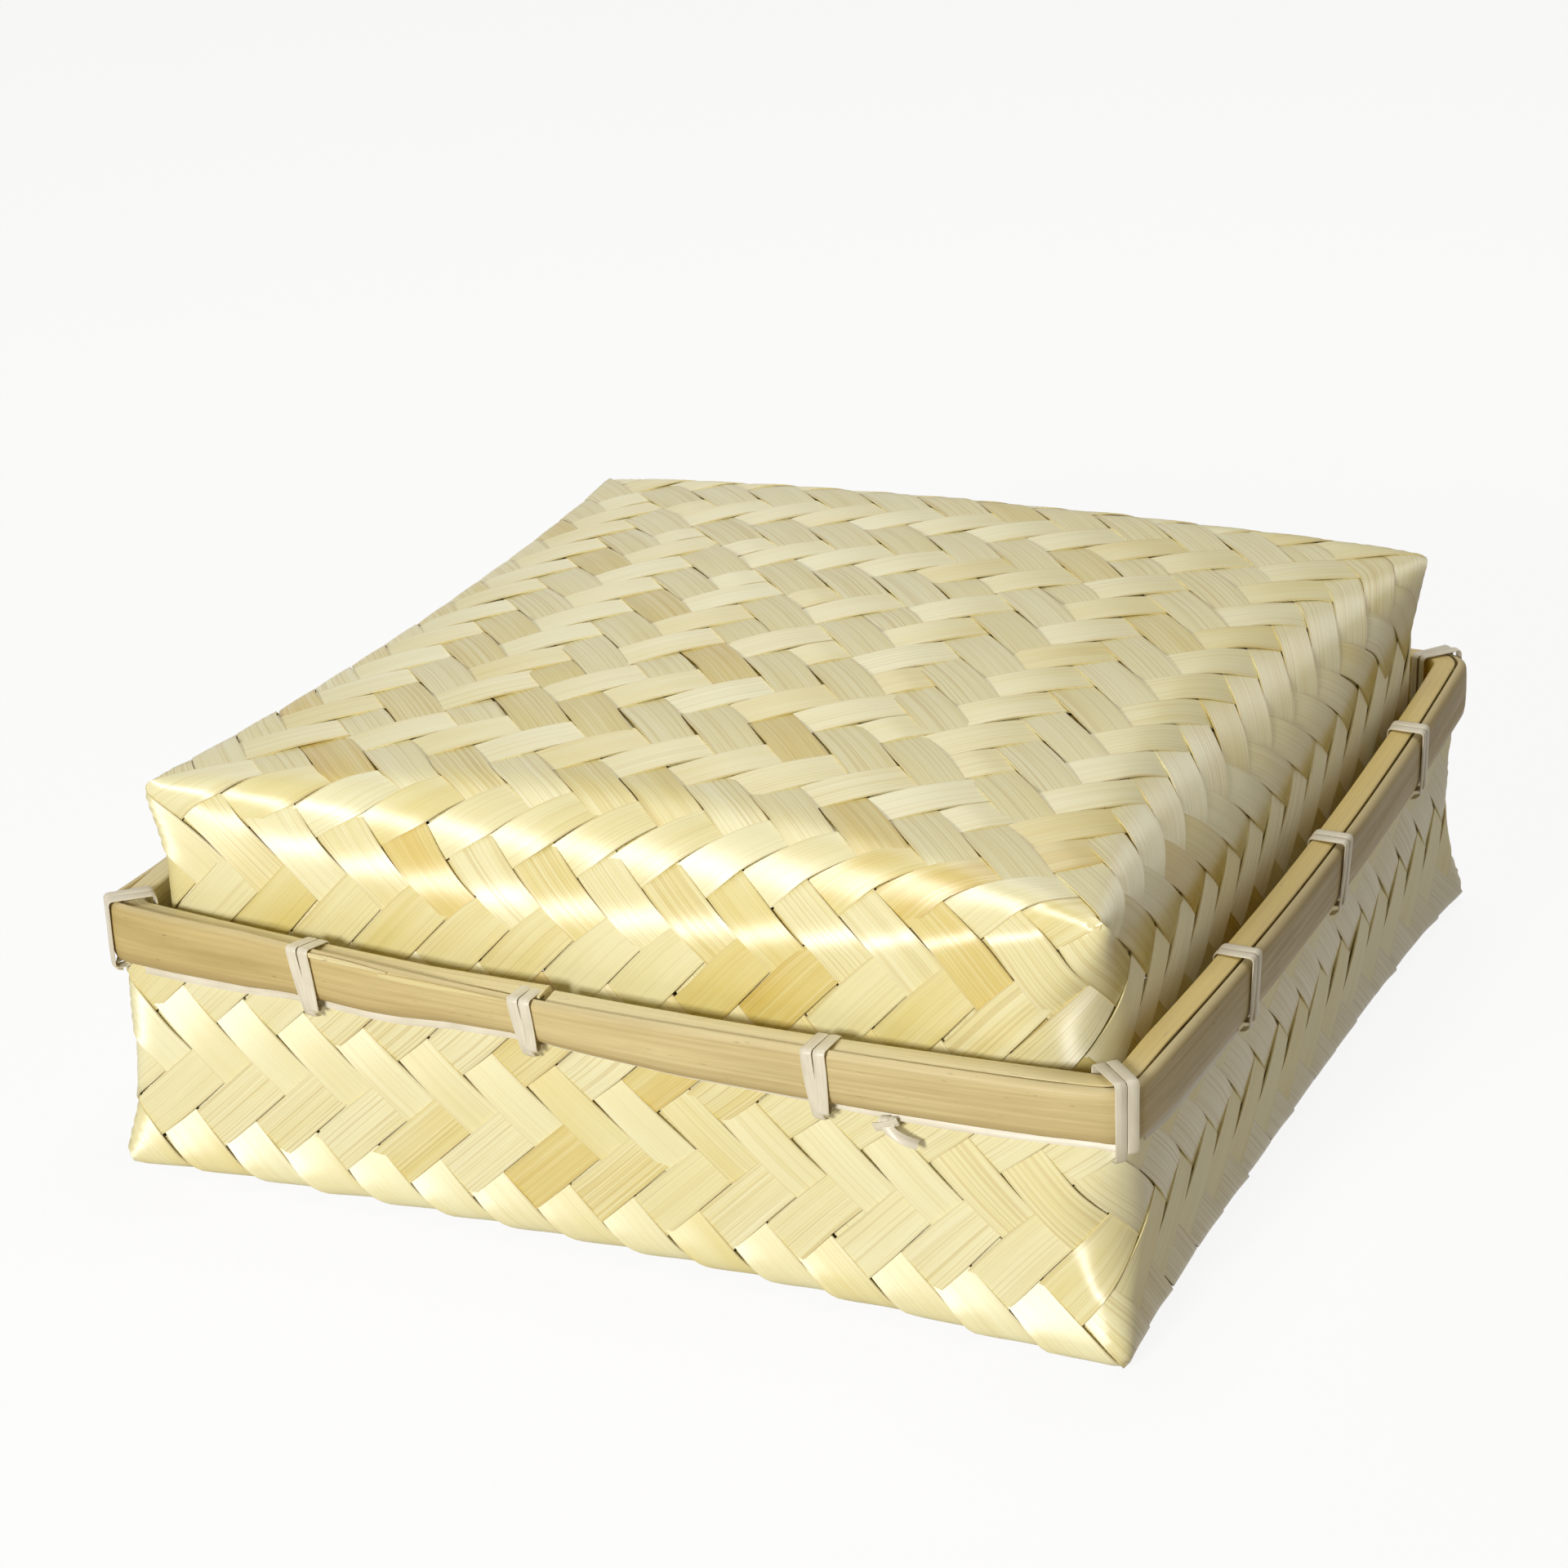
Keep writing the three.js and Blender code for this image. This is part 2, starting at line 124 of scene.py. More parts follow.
# %% [markdown]
# The studio is a pale floor that fills the picture, a lamp low in front of the box, which brings
# out the satin gloss of the walls and leaves the right side in shade, a wide soft lamp above and
# behind it for the top, and an even, warm glow from all round. Seen straight from the camera or in
# a reflection, floor and surroundings are nearly white, as in the photograph, and the floor still
# takes the box's shadow.

# %% Floor
FLOOR_HALF, FLOOR_GLOW = 6, 0.9
scene.view_settings.view_transform = "Standard"


def seen_directly(tree):
    rays = add(tree, "ShaderNodeLightPath").outputs
    seen = rays["Is Camera Ray"]
    for ray in ("Is Glossy Ray", "Is Transmission Ray"):
        seen = add(tree, "ShaderNodeMath", {0: seen, 1: rays[ray]}, operation="MAXIMUM").outputs[0]
    return rays["Is Camera Ray"], seen


floor_mesh = bpy.data.meshes.new("floor")
floor_mesh.from_pydata([(x * FLOOR_HALF, y * FLOOR_HALF, 0) for x, y in (
    (-1, -1), (1, -1), (1, 1), (-1, 1))], [], [(0, 1, 2, 3)])
floor = new_object("floor", floor_mesh)

paper = bpy.data.materials.new("white_paper_backdrop")
paper.use_nodes = True
tree = paper.node_tree
tree.nodes.clear()
by_camera, seen = seen_directly(tree)
share = add(tree, "ShaderNodeMath", {0: seen, 1: FLOOR_GLOW}, operation="MULTIPLY")
paper_colour = add(tree, "ShaderNodeMix", {
    0: by_camera, 6: linear("#BDB5A2"), 7: linear("#FBFBFA")}, data_type="RGBA")
matt = add(tree, "ShaderNodeBsdfDiffuse", {"Color": paper_colour.outputs[2]})
glow = add(tree, "ShaderNodeEmission", {"Color": linear("#FFFFFF"), "Strength": 1})
mixed = add(tree, "ShaderNodeMixShader", {0: share, 1: matt, 2: glow})
add(tree, "ShaderNodeOutputMaterial", {"Surface": mixed})
floor_mesh.materials.append(paper)
print("floor is", 2 * FLOOR_HALF, "m wide")

# %% Lamps and world
LAMP_AIM = Vector((0, 0, 0.06))
LAMPS = {"front_lamp": ((-0.1, -1.6, 0.6), (0.36, 0.32), 21.6),
         "ceiling_lamp": ((0.0, 0.45, 1.55), (0.9, 0.9), 9.0)}
for name, (place, size, watts) in LAMPS.items():
    lamp = bpy.data.lights.new(name, "AREA")
    lamp.shape = "RECTANGLE"
    lamp.size, lamp.size_y = size
    lamp.energy = watts
    lamp_object = new_object(name, lamp)
    lamp_object.location = place
    aim = LAMP_AIM - Vector(place)
    lamp_object.rotation_euler = aim.to_track_quat("-Z", "Y").to_euler()

world = bpy.data.worlds.new("studio")
scene.world = world
world.use_nodes = True
tree = world.node_tree
tree.nodes.clear()
seen = seen_directly(tree)[1]
even = add(tree, "ShaderNodeBackground", {"Color": linear("#FFE6B6"), "Strength": 0.12})
white = add(tree, "ShaderNodeBackground", {"Color": linear("#FFFFFF"), "Strength": 1})
mixed = add(tree, "ShaderNodeMixShader", {0: seen, 1: even, 2: white})
add(tree, "ShaderNodeOutputWorld", {"Surface": mixed})
print("lamps:", list(LAMPS))

# %% [markdown]
# Bamboo and ribbon share two ideas. A pattern is noise stretched to real sizes, long along the
# grain and narrow across it, and it tints the colour below it, more and more from one of its values
# to another. Each idea is a function, so that a finish reads as a list of its patterns.

# %% Helpers for grain
def new_material(name):
    material = bpy.data.materials.new(name)
    material.use_nodes = True
    return material, material.node_tree, material.node_tree.nodes["Principled BSDF"]


def grain(tree, place, sizes, detail, roughness=0.5):
    stretched = add(tree, "ShaderNodeVectorMath", {
        0: place, 1: tuple(1 / size for size in sizes)}, operation="MULTIPLY")
    return add(tree, "ShaderNodeTexNoise", {
        "Vector": stretched, "Scale": 1, "Detail": detail, "Roughness": roughness}).outputs["Fac"]


def tinted(tree, colour, tint, pattern, low, high, share, times=None):
    part = add(tree, "ShaderNodeMapRange", {
        "Value": pattern, "From Min": low, "From Max": high, "To Min": 0, "To Max": share})
    if times is not None:
        part = add(tree, "ShaderNodeMath", {0: part, 1: times}, operation="MULTIPLY")
    return add(tree, "ShaderNodeMix", {
        0: part, 6: colour, 7: linear(tint)}, data_type="RGBA").outputs[2]


# %% [markdown]
# The strips are split bamboo, scraped thin and dried: pale cream to straw, with a few that are
# honey-coloured, from the outside of the cane. The eye sees three things. Fine fibres run along the
# strip, on some strips as clear dark and light lines about a millimetre apart. The strips' edges
# are
# a little darker: partly their own tone, partly painted shade of the seams between strips. And the
# gloss is that of satin: it shines across the fibres and not along them, so where one strip shines,
# its neighbour that lies crosswise doesn't. The shader gets that from its anisotropy, with the
# tangent taken along the strip. The tone of each strip and how clear its lines are come from
# numbers stored on its mesh, and the fibres follow a UV map that is laid out in metres along and
# across the strip, so they turn where the strip turns. Real fibres are finer than a pixel here, so
# they are drawn as coarse as they need to be to show.

# %% Split bamboo for the strips
FIBRE, HAIR, PATCH = (140 * MM, 0.6 * MM, 1), (25 * MM, 0.3 * MM, 1), (45 * MM, 7 * MM, 1)

strip_bamboo, tree, shader = new_material("split_bamboo_strip")
along_strip = add(tree, "ShaderNodeUVMap", uv_map="strip")
tone, lined, across = (add(tree, "ShaderNodeAttribute", attribute_name=name).outputs["Fac"]
                       for name in ("tone", "lined", "across"))
fibre = grain(tree, along_strip, FIBRE, 3)
hair = grain(tree, along_strip, HAIR, 2)
patch = grain(tree, along_strip, PATCH, 2)
print("fibres are drawn", FIBRE[1] / MM, "mm wide")

# %% Colour of the strips
shifted = add(tree, "ShaderNodeMapRange", {
    "Value": patch, "From Min": 0.3, "From Max": 0.7, "To Min": -0.14, "To Max": 0.14})
shade = add(tree, "ShaderNodeMath", {0: tone, 1: shifted}, operation="ADD", use_clamp=True)
colour = add(tree, "ShaderNodeValToRGB", {"Fac": shade})
set_ramp(colour, [(0, "#F3EDBC"), (0.3, "#EEE4A8"), (0.55, "#E6D78A"),
                  (0.8, "#DFC66A"), (1, "#CFAB4A")])
for tint, pattern, low, high, share in (
        ("#C9AE66", fibre, 0.52, 0.61, 0.48), ("#FBF6D6", fibre, 0.47, 0.37, 0.4),
        ("#D2B974", hair, 0.4, 0.7, 0.22)):
    colour = tinted(tree, colour, tint, pattern, low, high, share, lined)
# Painted shade: the strip is darkened towards #AE8A48 near its edges, partly the edges' own tone,
# partly the shade in the seams between strips.
edge = add(tree, "ShaderNodeMath", {0: across}, operation="ABSOLUTE")
colour = tinted(tree, colour, "#AE8A48", edge, 0.9, 1.0, 0.5, patch)

# %% Gloss and relief of the strips
gloss = add(tree, "ShaderNodeMapRange", {
    "Value": fibre, "From Min": 0.3, "From Max": 0.7, "To Min": 0.44, "To Max": 0.52})
ridges = add(tree, "ShaderNodeMath", {0: hair, 1: 0.35, 2: fibre}, operation="MULTIPLY_ADD")
relief = add(tree, "ShaderNodeBump", {"Height": ridges, "Strength": 0.45, "Distance": 0.12 * MM})
tangent = add(tree, "ShaderNodeTangent", direction_type="UV_MAP", uv_map="strip")
connect(tree, shader, {
    "Base Color": colour, "Roughness": gloss, "Normal": relief, "Tangent": tangent,
    "Anisotropic": 1, "Anisotropic Rotation": 0.25, "Specular IOR Level": 1, "IOR": 1.8})
print("strip material has", len(tree.nodes), "nodes")

# %% [markdown]
# Both plaited bodies start as the same idea: a square floor whose edges fold up into four walls.
# The fold is soft in the middle of a side and sharp at the corners, where the corner tips stick
# out a little. The lid's floor is crowned and lifted by a different amount at each corner, and the
# roundness of each upright corner and the softness of each side's fold are given one by one, as
# hands make them. A place on the body is given by its side, how far along that side it is, and its
# reach from the middle of the floor out to the edge and up the wall. The tray isn't stiff: by the
# rim its walls bow out and sag between the corners, one corner stands lower than the others, and
# the foot below that corner swings forward. The function settle bends everything on the tray so.

# %% The forms of the tray and the lid
ROW = 121.6 / 15
TRAY = {"half": 15 * ROW, "height": 64.4, "level": 1.2, "sense": 1, "strips": 15, "first_row": 15,
        "hem": 0, "fold_middle": (6.5, 6.5, 6.5, 6.5), "fold_corner": 1.6, "tip_reach": 3,
        "tip_height": 12, "bow": -1.2, "bow_height": 45, "corner": (2.5, 4.2, 4.2, 4.2),
        "corner_rise": 30, "swell": (0, 11, 4, 0), "crown": (0, 0, 0), "lift": {}}
LID = {"half": 14 * ROW, "height": 8 * ROW, "level": 94.2, "sense": -1, "strips": 14,
       "first_row": 13, "hem": 12, "fold_middle": (24, 24, 18, 12), "fold_corner": 1.6,
       "tip_reach": 2.3, "tip_height": 10, "bow": 0.6, "bow_height": 26, "corner": (4, 18, 9, 9),
       "corner_rise": 26, "swell": (0, 0, 0, 0), "crown": (10, 2, 8),
       "lift": {(-1, -1): 1, (1, -1): 3.5, (1, 1): 3.4, (-1, 1): -1.5}}
SWELL_HEIGHT, LEAST_FOLD = 58, 0.5


def rounded_square(half, radius, side, along):
    straight = half - radius
    reach = np.abs(along) * (straight + radius * np.pi / 4)
    turn = np.maximum(0, reach - straight) / np.maximum(radius, 1e-6)
    across = np.sign(along) * (np.minimum(reach, straight) + radius * np.sin(turn))
    out = straight + radius * np.cos(turn)
    cosine, sine = np.cos(side * np.pi / 2), np.sin(side * np.pi / 2)
    return across * cosine + out * sine, across * sine - out * cosine


def corner_lift(lifts, u, v):
    return sum(lift * (1 + a * u) * (1 + b * v) / 4 for (a, b), lift in lifts.items())


def smooth_step(start, end, value):
    part = np.clip((value - start) / (end - start), 0, 1)
    return part ** 2 * (3 - 2 * part)


print("strip pitch", round(ROW * math.sqrt(2), 2), "mm")

# %% Places on a form
RIM_HALF, GIVE_HEIGHT, BOW, SAG = 125, 50, (2, 3), 1.6
CORNER_LIFT = {(-1, -1): 0.3, (1, -1): -2, (1, 1): 0.8, (-1, 1): 0}
NEAR_WALL, FOOT_X, FOOT_Y, FOOT_SWING = (95, 115), (20, 110), (10, 110), 3.5


def settle(point):
    x, y, z = point[..., 0], point[..., 1], point[..., 2]
    low = np.clip(z / GIVE_HEIGHT, 0, 1) ** 2
    out = low + 2 * np.maximum(0, z / GIVE_HEIGHT - 1)
    near_x, near_y = (smooth_step(*NEAR_WALL, np.abs(value)) for value in (x, y))
    wide = near_x * np.maximum(0, 1 - (y / RIM_HALF) ** 2)
    deep = near_y * np.maximum(0, 1 - (x / RIM_HALF) ** 2)
    u, v = (np.clip(value / RIM_HALF, -1, 1) for value in (x, y))
    lift = corner_lift(CORNER_LIFT, u, v)
    foot = smooth_step(*FOOT_X, x) * smooth_step(*FOOT_Y, -y) * np.clip(1 - z / GIVE_HEIGHT, 0, 1)
    return np.stack([x + np.sign(x) * wide * BOW[0] * out,
                     y + np.sign(y) * deep * BOW[1] * out - FOOT_SWING * foot,
                     z + low * (lift - SAG * np.maximum(wide, deep))], -1)


def form_point(form, side, along, reach):
    half = form["half"]
    fold_middle = np.array(form["fold_middle"])[np.asarray(side).astype(int) % 4]
    fold = form["fold_corner"] + (fold_middle - form["fold_corner"]) * (1 - along ** 2)
    fold = np.maximum(fold, LEAST_FOLD)
    past = reach - half
    turn = np.clip((past + fold) / (2 * fold), 0, 1) * np.pi / 2
    out = half + np.minimum(past, -fold) + fold * np.sin(turn)
    rise = np.maximum(past, fold) - fold + fold * (1 - np.cos(turn))
    near = np.minimum(1, reach / half) ** 8
    out = out + form["tip_reach"] * near * along ** 6 * np.exp(-(rise / form["tip_height"]) ** 2)
    fade = np.maximum(0, 1 - rise / form["bow_height"]) ** 2
    out = out - form["bow"] * near * (1 - along ** 2) * fade
    which = ((side + (along > 0)) % 4).astype(int)
    corner = np.array(form["corner"])[which] * smooth_step(0, form["corner_rise"], rise)
    middle = np.sin(np.pi * np.clip(rise / SWELL_HEIGHT, 0, 1)) ** 2
    corner = corner + np.array(form["swell"])[which] * middle
    x, y = rounded_square(out, corner, side, along)
    middle, front, back = form["crown"]
    u, v = np.clip(x / half, -1, 1), np.clip(y / half, -1, 1)
    crown = middle + (back - front) / 2 * v - (middle - (back + front) / 2) * v ** 2
    crown = (1 - u ** 2) * crown + corner_lift(form["lift"], u, v)
    crown = crown * np.maximum(0, 1 - rise / form["height"])
    point = np.stack([x, y, form["level"] + form["sense"] * (rise - crown)], -1)
    return settle(point) if form is TRAY else point


print("lid crown at", np.round(form_point(LID, *np.zeros((3, 1))), 1).tolist())

# %% [markdown]
# A strip keeps to one slanted line of the unfolded body: across the floor, over the fold, up the
# wall and on round the corner. So each strip is a long grid of points, found by walking along that
# line. The strips could be drawn one by one as curves, but the walk gives the true path over folds
# and corners, and it tells which other strips are crossed on the way. The lid's strips turn back
# inside at the bottom of the skirt, as a hem.

# %% The path of a strip over a form
HEM_BEND, LOOK_STEP, FLAT_REACH = 0.95, 0.5, 2


def unit(vectors):
    return vectors / np.maximum(np.linalg.norm(vectors, axis=-1, keepdims=True), 1e-9)


def strip_path(form, mirrored, line, walk):
    half = form["half"]
    edge = 2 * half - np.abs(line)
    x, y = (walk - line) / 2, (walk + line) / 2
    floor_reach = np.maximum(np.abs(x), np.abs(y))
    floor_side = np.where(np.abs(y) >= np.abs(x), np.where(y < 0, 0, 2), np.where(x > 0, 1, 3))
    floor_along = np.choose(floor_side, [x, y, -x, -y]) / np.maximum(floor_reach, 1e-6)
    climb = (np.abs(walk) - edge) / 2
    turned_by = np.sign(line) * climb
    around = np.where(walk > 0, 4 * half + line - turned_by, turned_by - line) % (8 * half)
    wall_side = np.minimum(around // (2 * half), 3).astype(int)
    wall_along = (around - 2 * half * wall_side) / half - 1

    past = np.maximum(0, climb - form["height"]) if form["hem"] else np.zeros_like(climb)
    bend = np.minimum(past / (np.pi * HEM_BEND), 1) * np.pi
    height = np.minimum(climb, form["height"]) - np.maximum(0, past - np.pi * HEM_BEND)

    on_wall = climb > 0
    side = np.where(on_wall, wall_side, floor_side)
    along = np.where(on_wall, wall_along, floor_along)
    reach = np.where(on_wall, half + height, floor_reach)
    if mirrored:
        side, along = (4 - side) % 4, -along

    def spot(turn, climb):
        return form_point(form, side, along + turn, reach + climb)

    point = spot(0, 0)
    turn = LOOK_STEP / np.maximum(reach, 4)
    upwards = unit(spot(0, LOOK_STEP) - spot(0, -LOOK_STEP))
    outward = unit(np.cross(spot(turn, 0) - spot(-turn, 0), upwards))
    centre = np.array([0, 0, form["level"] + form["sense"] * form["height"] / 2])
    outward *= np.sign(np.sum(outward * (point - centre), -1, keepdims=True))
    outward[(floor_reach < FLAT_REACH) & ~on_wall] = (0, 0, -form["sense"])
    cosine, sine = np.cos(bend)[..., None], np.sin(bend)[..., None]
    point = point + HEM_BEND * (outward * (cosine - 1) + upwards * sine)
    return point, outward * cosine + upwards * sine, bend > np.pi / 2


print("a strip's middle lies at", np.round(
    strip_path(TRAY, False, np.array([-ROW]), np.array([0.0]))[0], 1).tolist())

# %% [markdown]
# The plait is a twill that runs in rings round the middle of the floor: in two rings the strips of
# one slant lie on top, in the next two those of the other slant, and so on up the walls. For each
# point of a strip, the script stores the ring of the crossing before it and of the crossing after
# it, and how far it is between them. The Geometry Nodes tree further down turns these numbers into
# over and under. Strips cut by hand are uneven, so each narrows here and there, drifts and tilts a
# little, and stands proud by its own amount where it goes over the fold.

# %% Strips as one mesh with their crossings stored
ACROSS = np.linspace(-1, 1, 6)
STEP, FILL, CORNER_GAP = 1.9, 0.985, 0.25
NARROWING, NARROWING_SPACING = (-0.03, 0.08), 14
UNEVEN, HOLLOW = 0.07, 0.06
PROUD_HEIGHT, PROUD_REACH = 3, 6
LAYERS = ("row_before", "row_after", "between", "spring", "tone", "lined", "across")


def smooth_along(values, times):
    for _ in range(times):
        inner = (values[:-2] + 2 * values[1:-1] + values[2:]) / 4
        values = np.concatenate([values[:1], inner, values[-1:]])
    return values


def wander(part, values):
    return np.interp(part[:, 0], np.linspace(-1, 1, len(values)), values)[:, None]


def store(mesh, layer, values):
    kind, key = ("FLOAT_VECTOR", "vector") if values.ndim == 2 else ("FLOAT", "value")
    attribute = mesh.attributes.new(layer, "BOOLEAN" if values.dtype == bool else kind, "POINT")
    attribute.data.foreach_set(key, values.ravel())


def plaited_strips(name, form, mirrored, seed, tones, clear):
    random = np.random.default_rng(seed)
    half, count, columns = form["half"], form["strips"], len(ACROSS)
    limits = CORNER_GAP, 2 * half - CORNER_GAP
    points, outwards, faces, layers = [], [], [], []
    start = 0
    for index in np.arange(-count + 0.5, count):
        line = 2 * ROW * index + FILL * ROW * ACROSS
        line = np.clip(np.abs(line), *limits) * np.sign(index)
        end = 2 * (form["height"] + form["hem"]) + 2 * half - np.abs(line)
        middle_end = end.mean()
        steps = max(8, int(round(2 * middle_end / math.sqrt(2) / STEP)))
        part = np.linspace(-1, 1, steps + 1)[:, None]
        walk = part * middle_end + part * np.abs(part) ** 3 * (end - middle_end)
        knots = max(4, int(middle_end / NARROWING_SPACING))
        shrink = [wander(part, np.clip(random.normal(*NARROWING, knots), 0, 0.15))
                  for _ in range(2)]
        lines = line - ROW * ACROSS * np.where(ACROSS < 0, *shrink)
        lines = np.clip(np.abs(lines), *limits) * np.sign(index)
        point, outward, folded = strip_path(form, mirrored, lines, walk)
        point = smooth_along(point, 2)
        outward = unit(smooth_along(outward, 3))

        place = walk / (2 * ROW) - 0.5
        before = np.floor(place)
        rows = []
        for crossing in (before + 0.5, before + 1.5):
            ring = np.abs(index) + np.abs(crossing) - form["first_row"]
            alike = (index * crossing > 0) != mirrored
            rows.append(ring + np.where(alike, 0, 2) + np.where(folded, 2, 0))
        drift, tilt = (wander(part, random.normal(0, UNEVEN, knots)) for knots in (9, 11))
        climb = (np.abs(walk) - 2 * half + np.abs(lines)) / 2
        proud = random.uniform(0.2, 0.9) if form is TRAY else random.uniform(0, 0.3)
        proud = proud * np.exp(-((climb - PROUD_HEIGHT) / PROUD_REACH) ** 2)
        spring = drift + tilt * ACROSS - HOLLOW * ACROSS ** 2 + proud * np.maximum(0, ACROSS)

        tone = tones.get(float(index))
        if tone is None:
            tone = random.choice([random.uniform(0, 0.25), random.uniform(0.2, 0.4),
                                  random.uniform(0.4, 0.55)], p=[0.62, 0.3, 0.08])
        along = walk / math.sqrt(2) + random.uniform(-20000, 20000)
        wide = np.broadcast_to(ACROSS, walk.shape)
        layers.append(np.stack([
            along * MM, wide * ROW / math.sqrt(2) * MM, *rows, place - before, spring * MM,
            np.full(wide.shape, tone), np.full(wide.shape, random.uniform(*clear)), wide], -1))
        points.append(point)
        outwards.append(outward)

        corner = start + np.arange(steps)[:, None] * columns + np.arange(columns - 1)
        quads = np.stack([corner, corner + columns, corner + columns + 1, corner + 1], -1)
        middle = steps // 2
        first = point[middle + 1, 2] - point[middle, 2], point[middle, 3] - point[middle, 2]
        if np.dot(np.cross(*first), outward[middle, 2]) < 0:
            quads = quads[..., ::-1]
        faces.append(quads.reshape(-1, 4))
        start += point.shape[0] * columns

    points, outwards, layers = (
        np.concatenate([part.reshape(-1, part.shape[-1]) for part in parts])
        for parts in (points, outwards, layers))
    faces = np.concatenate(faces)
    mesh = bpy.data.meshes.new(name)
    mesh.from_pydata(points * MM, [], faces)
    uv_map = mesh.uv_layers.new(name="strip")
    uv_map.data.foreach_set("uv", layers[faces.ravel(), :2].ravel().astype(np.float32))
    for column, layer in enumerate(LAYERS, 2):
        store(mesh, layer, layers[:, column])
    store(mesh, "outward", outwards)
    print(name, 2 * count, "strips,", len(points), "points")
    return mesh


# %% [markdown]
# A Geometry Nodes tree starts with its named inputs and the numbers that it reads from the mesh.
# Both trees below end alike: the surface is smoothed, edges past a given angle are kept sharp, and
# what was made becomes a real mesh with its material.

# %% The start and the end of a tree
def new_tree(name, sockets, layers):
    tree = bpy.data.node_groups.new(name, "GeometryNodeTree")
    for socket, kind in {"Geometry": "Geometry", **sockets}.items():
        tree.interface.new_socket(socket, in_out="INPUT", socket_type="NodeSocket" + kind)
    tree.interface.new_socket("Geometry", in_out="OUTPUT", socket_type="NodeSocketGeometry")
    stored = {}
    for layer, kind in layers.items():
        node = add(tree, "GeometryNodeInputNamedAttribute", {"Name": layer}, data_type=kind)
        stored[layer] = node.outputs["Attribute"]
    return tree, add(tree, "NodeGroupInput").outputs, stored


def end_tree(tree, geometry, sharp_angle, material):
    smooth = add(tree, "GeometryNodeSetShadeSmooth", {"Geometry": geometry})
    bend = add(tree, "GeometryNodeInputMeshEdgeAngle")
    crease = add(tree, "FunctionNodeCompare", {
        0: bend.outputs["Unsigned Angle"], 1: math.radians(sharp_angle)},
        operation="GREATER_THAN")
    creased = add(tree, "GeometryNodeStoreNamedAttribute", {
        "Geometry": smooth, "Name": "sharp_edge", "Value": crease},
        data_type="BOOLEAN", domain="EDGE")
    real = add(tree, "GeometryNodeRealizeInstances", {"Geometry": creased})
    painted = add(tree, "GeometryNodeSetMaterial", {"Geometry": real, "Material": material})
    add(tree, "NodeGroupOutput", {"Geometry": painted})
    print(tree.name, "tree has", len(tree.nodes), "nodes")


# %% [markdown]
# This tree is the plaiting itself. It reads the stored rings, decides over or under from the number
# of crossings in a float, goes from one to the other in a wave of a cosine and a sine, and moves
# the strip along the outward direction by that much. Then it gives the sheet its thickness: the
# sheet is pushed out, its turned-over copy closes the back, and both are merged into closed strips.

# %% The plaiting tree
plaiting, given, stored = new_tree("plaiting", {
    "Float": "Float", "Lift": "Float", "Thickness": "Float", "Material": "Material"}, {
    "row_before": "FLOAT", "row_after": "FLOAT", "between": "FLOAT", "spring": "FLOAT",
    "outward": "FLOAT_VECTOR"})
repeat = add(plaiting, "ShaderNodeMath", {0: given["Float"], 1: 2.0}, operation="MULTIPLY")
over = []
for layer in ("row_before", "row_after"):
    ring = add(plaiting, "ShaderNodeMath", {0: stored[layer], 1: repeat},
               operation="FLOORED_MODULO")
    on_top = add(plaiting, "ShaderNodeMath", {0: ring, 1: given["Float"]}, operation="LESS_THAN")
    over.append(add(plaiting, "ShaderNodeMapRange", {
        "Value": on_top, "To Min": -1.0, "To Max": 1.0}))
quarter = add(plaiting, "ShaderNodeMath", {0: stored["between"], 1: math.pi / 2},
              operation="MULTIPLY")
leaving, coming = (add(plaiting, "ShaderNodeMath", {0: quarter}, operation=wave)
                   for wave in ("COSINE", "SINE"))
left = add(plaiting, "ShaderNodeMath", {0: over[0], 1: leaving}, operation="MULTIPLY")
state = add(plaiting, "ShaderNodeMath", {0: over[1], 1: coming, 2: left},
            operation="MULTIPLY_ADD")
height = add(plaiting, "ShaderNodeMath", {
    0: state, 1: given["Lift"], 2: stored["spring"]}, operation="MULTIPLY_ADD")
inner = add(plaiting, "ShaderNodeMath", {0: given["Thickness"], 1: -0.5, 2: height},
            operation="MULTIPLY_ADD")
offset = add(plaiting, "ShaderNodeVectorMath", {0: stored["outward"], "Scale": inner},
             operation="SCALE")
sheet = add(plaiting, "GeometryNodeSetPosition", {
    "Geometry": given["Geometry"], "Offset": offset})
raised = add(plaiting, "GeometryNodeExtrudeMesh", {
    "Mesh": sheet, "Offset": stored["outward"], "Offset Scale": given["Thickness"],
    "Individual": False}, mode="FACES")
back = add(plaiting, "GeometryNodeFlipFaces", {"Mesh": sheet})
joined = add(plaiting, "GeometryNodeJoinGeometry", {0: raised})
connect(plaiting, joined, {0: back})
closed = add(plaiting, "GeometryNodeMergeByDistance", {
    "Geometry": joined, "Distance": 0.002 * MM})
end_tree(plaiting, closed, 55, given["Material"])

# %% [markdown]
# A tree is run by putting it on an object as a modifier, with its inputs set, and copying the
# evaluated result into a plain mesh. The finished piece has no modifier left, sits at the origin,
# and then is hung on the part of the model it rides on, while the plain solids it stands for are
# hidden.

# %% Run a tree and hand over the piece
def grow(name, mesh, tree, values, body, nodes):
    source = new_object(name + "_source", mesh)
    modifier = source.modifiers.new("grow", "NODES")
    modifier.node_group = tree
    for item in tree.interface.items_tree:
        if item.in_out == "INPUT" and item.name in values:
            modifier[item.identifier] = values[item.name]
    depsgraph = bpy.context.evaluated_depsgraph_get()
    made = bpy.data.meshes.new_from_object(source.evaluated_get(depsgraph))
    bpy.data.objects.remove(source)
    made.name = name
    made.materials.clear()
    made.materials.append(values["Material"])
    made.polygons.foreach_set("material_index", np.zeros(len(made.polygons), dtype=np.int32))
    piece = new_object(name, made)
    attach(piece, body)
    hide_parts(*nodes)
    triangles = sum(len(polygon.vertices) - 2 for polygon in made.polygons)
    print(name, "has", triangles, "triangles")


# %% [markdown]
# Tray and lid each become two pieces, one for each slant, which keeps the meshes light enough and
# lets either slant be looked at alone. A few strips that show as honey-coloured in the photograph
# get that tone by their number; the rest take a seeded random one.

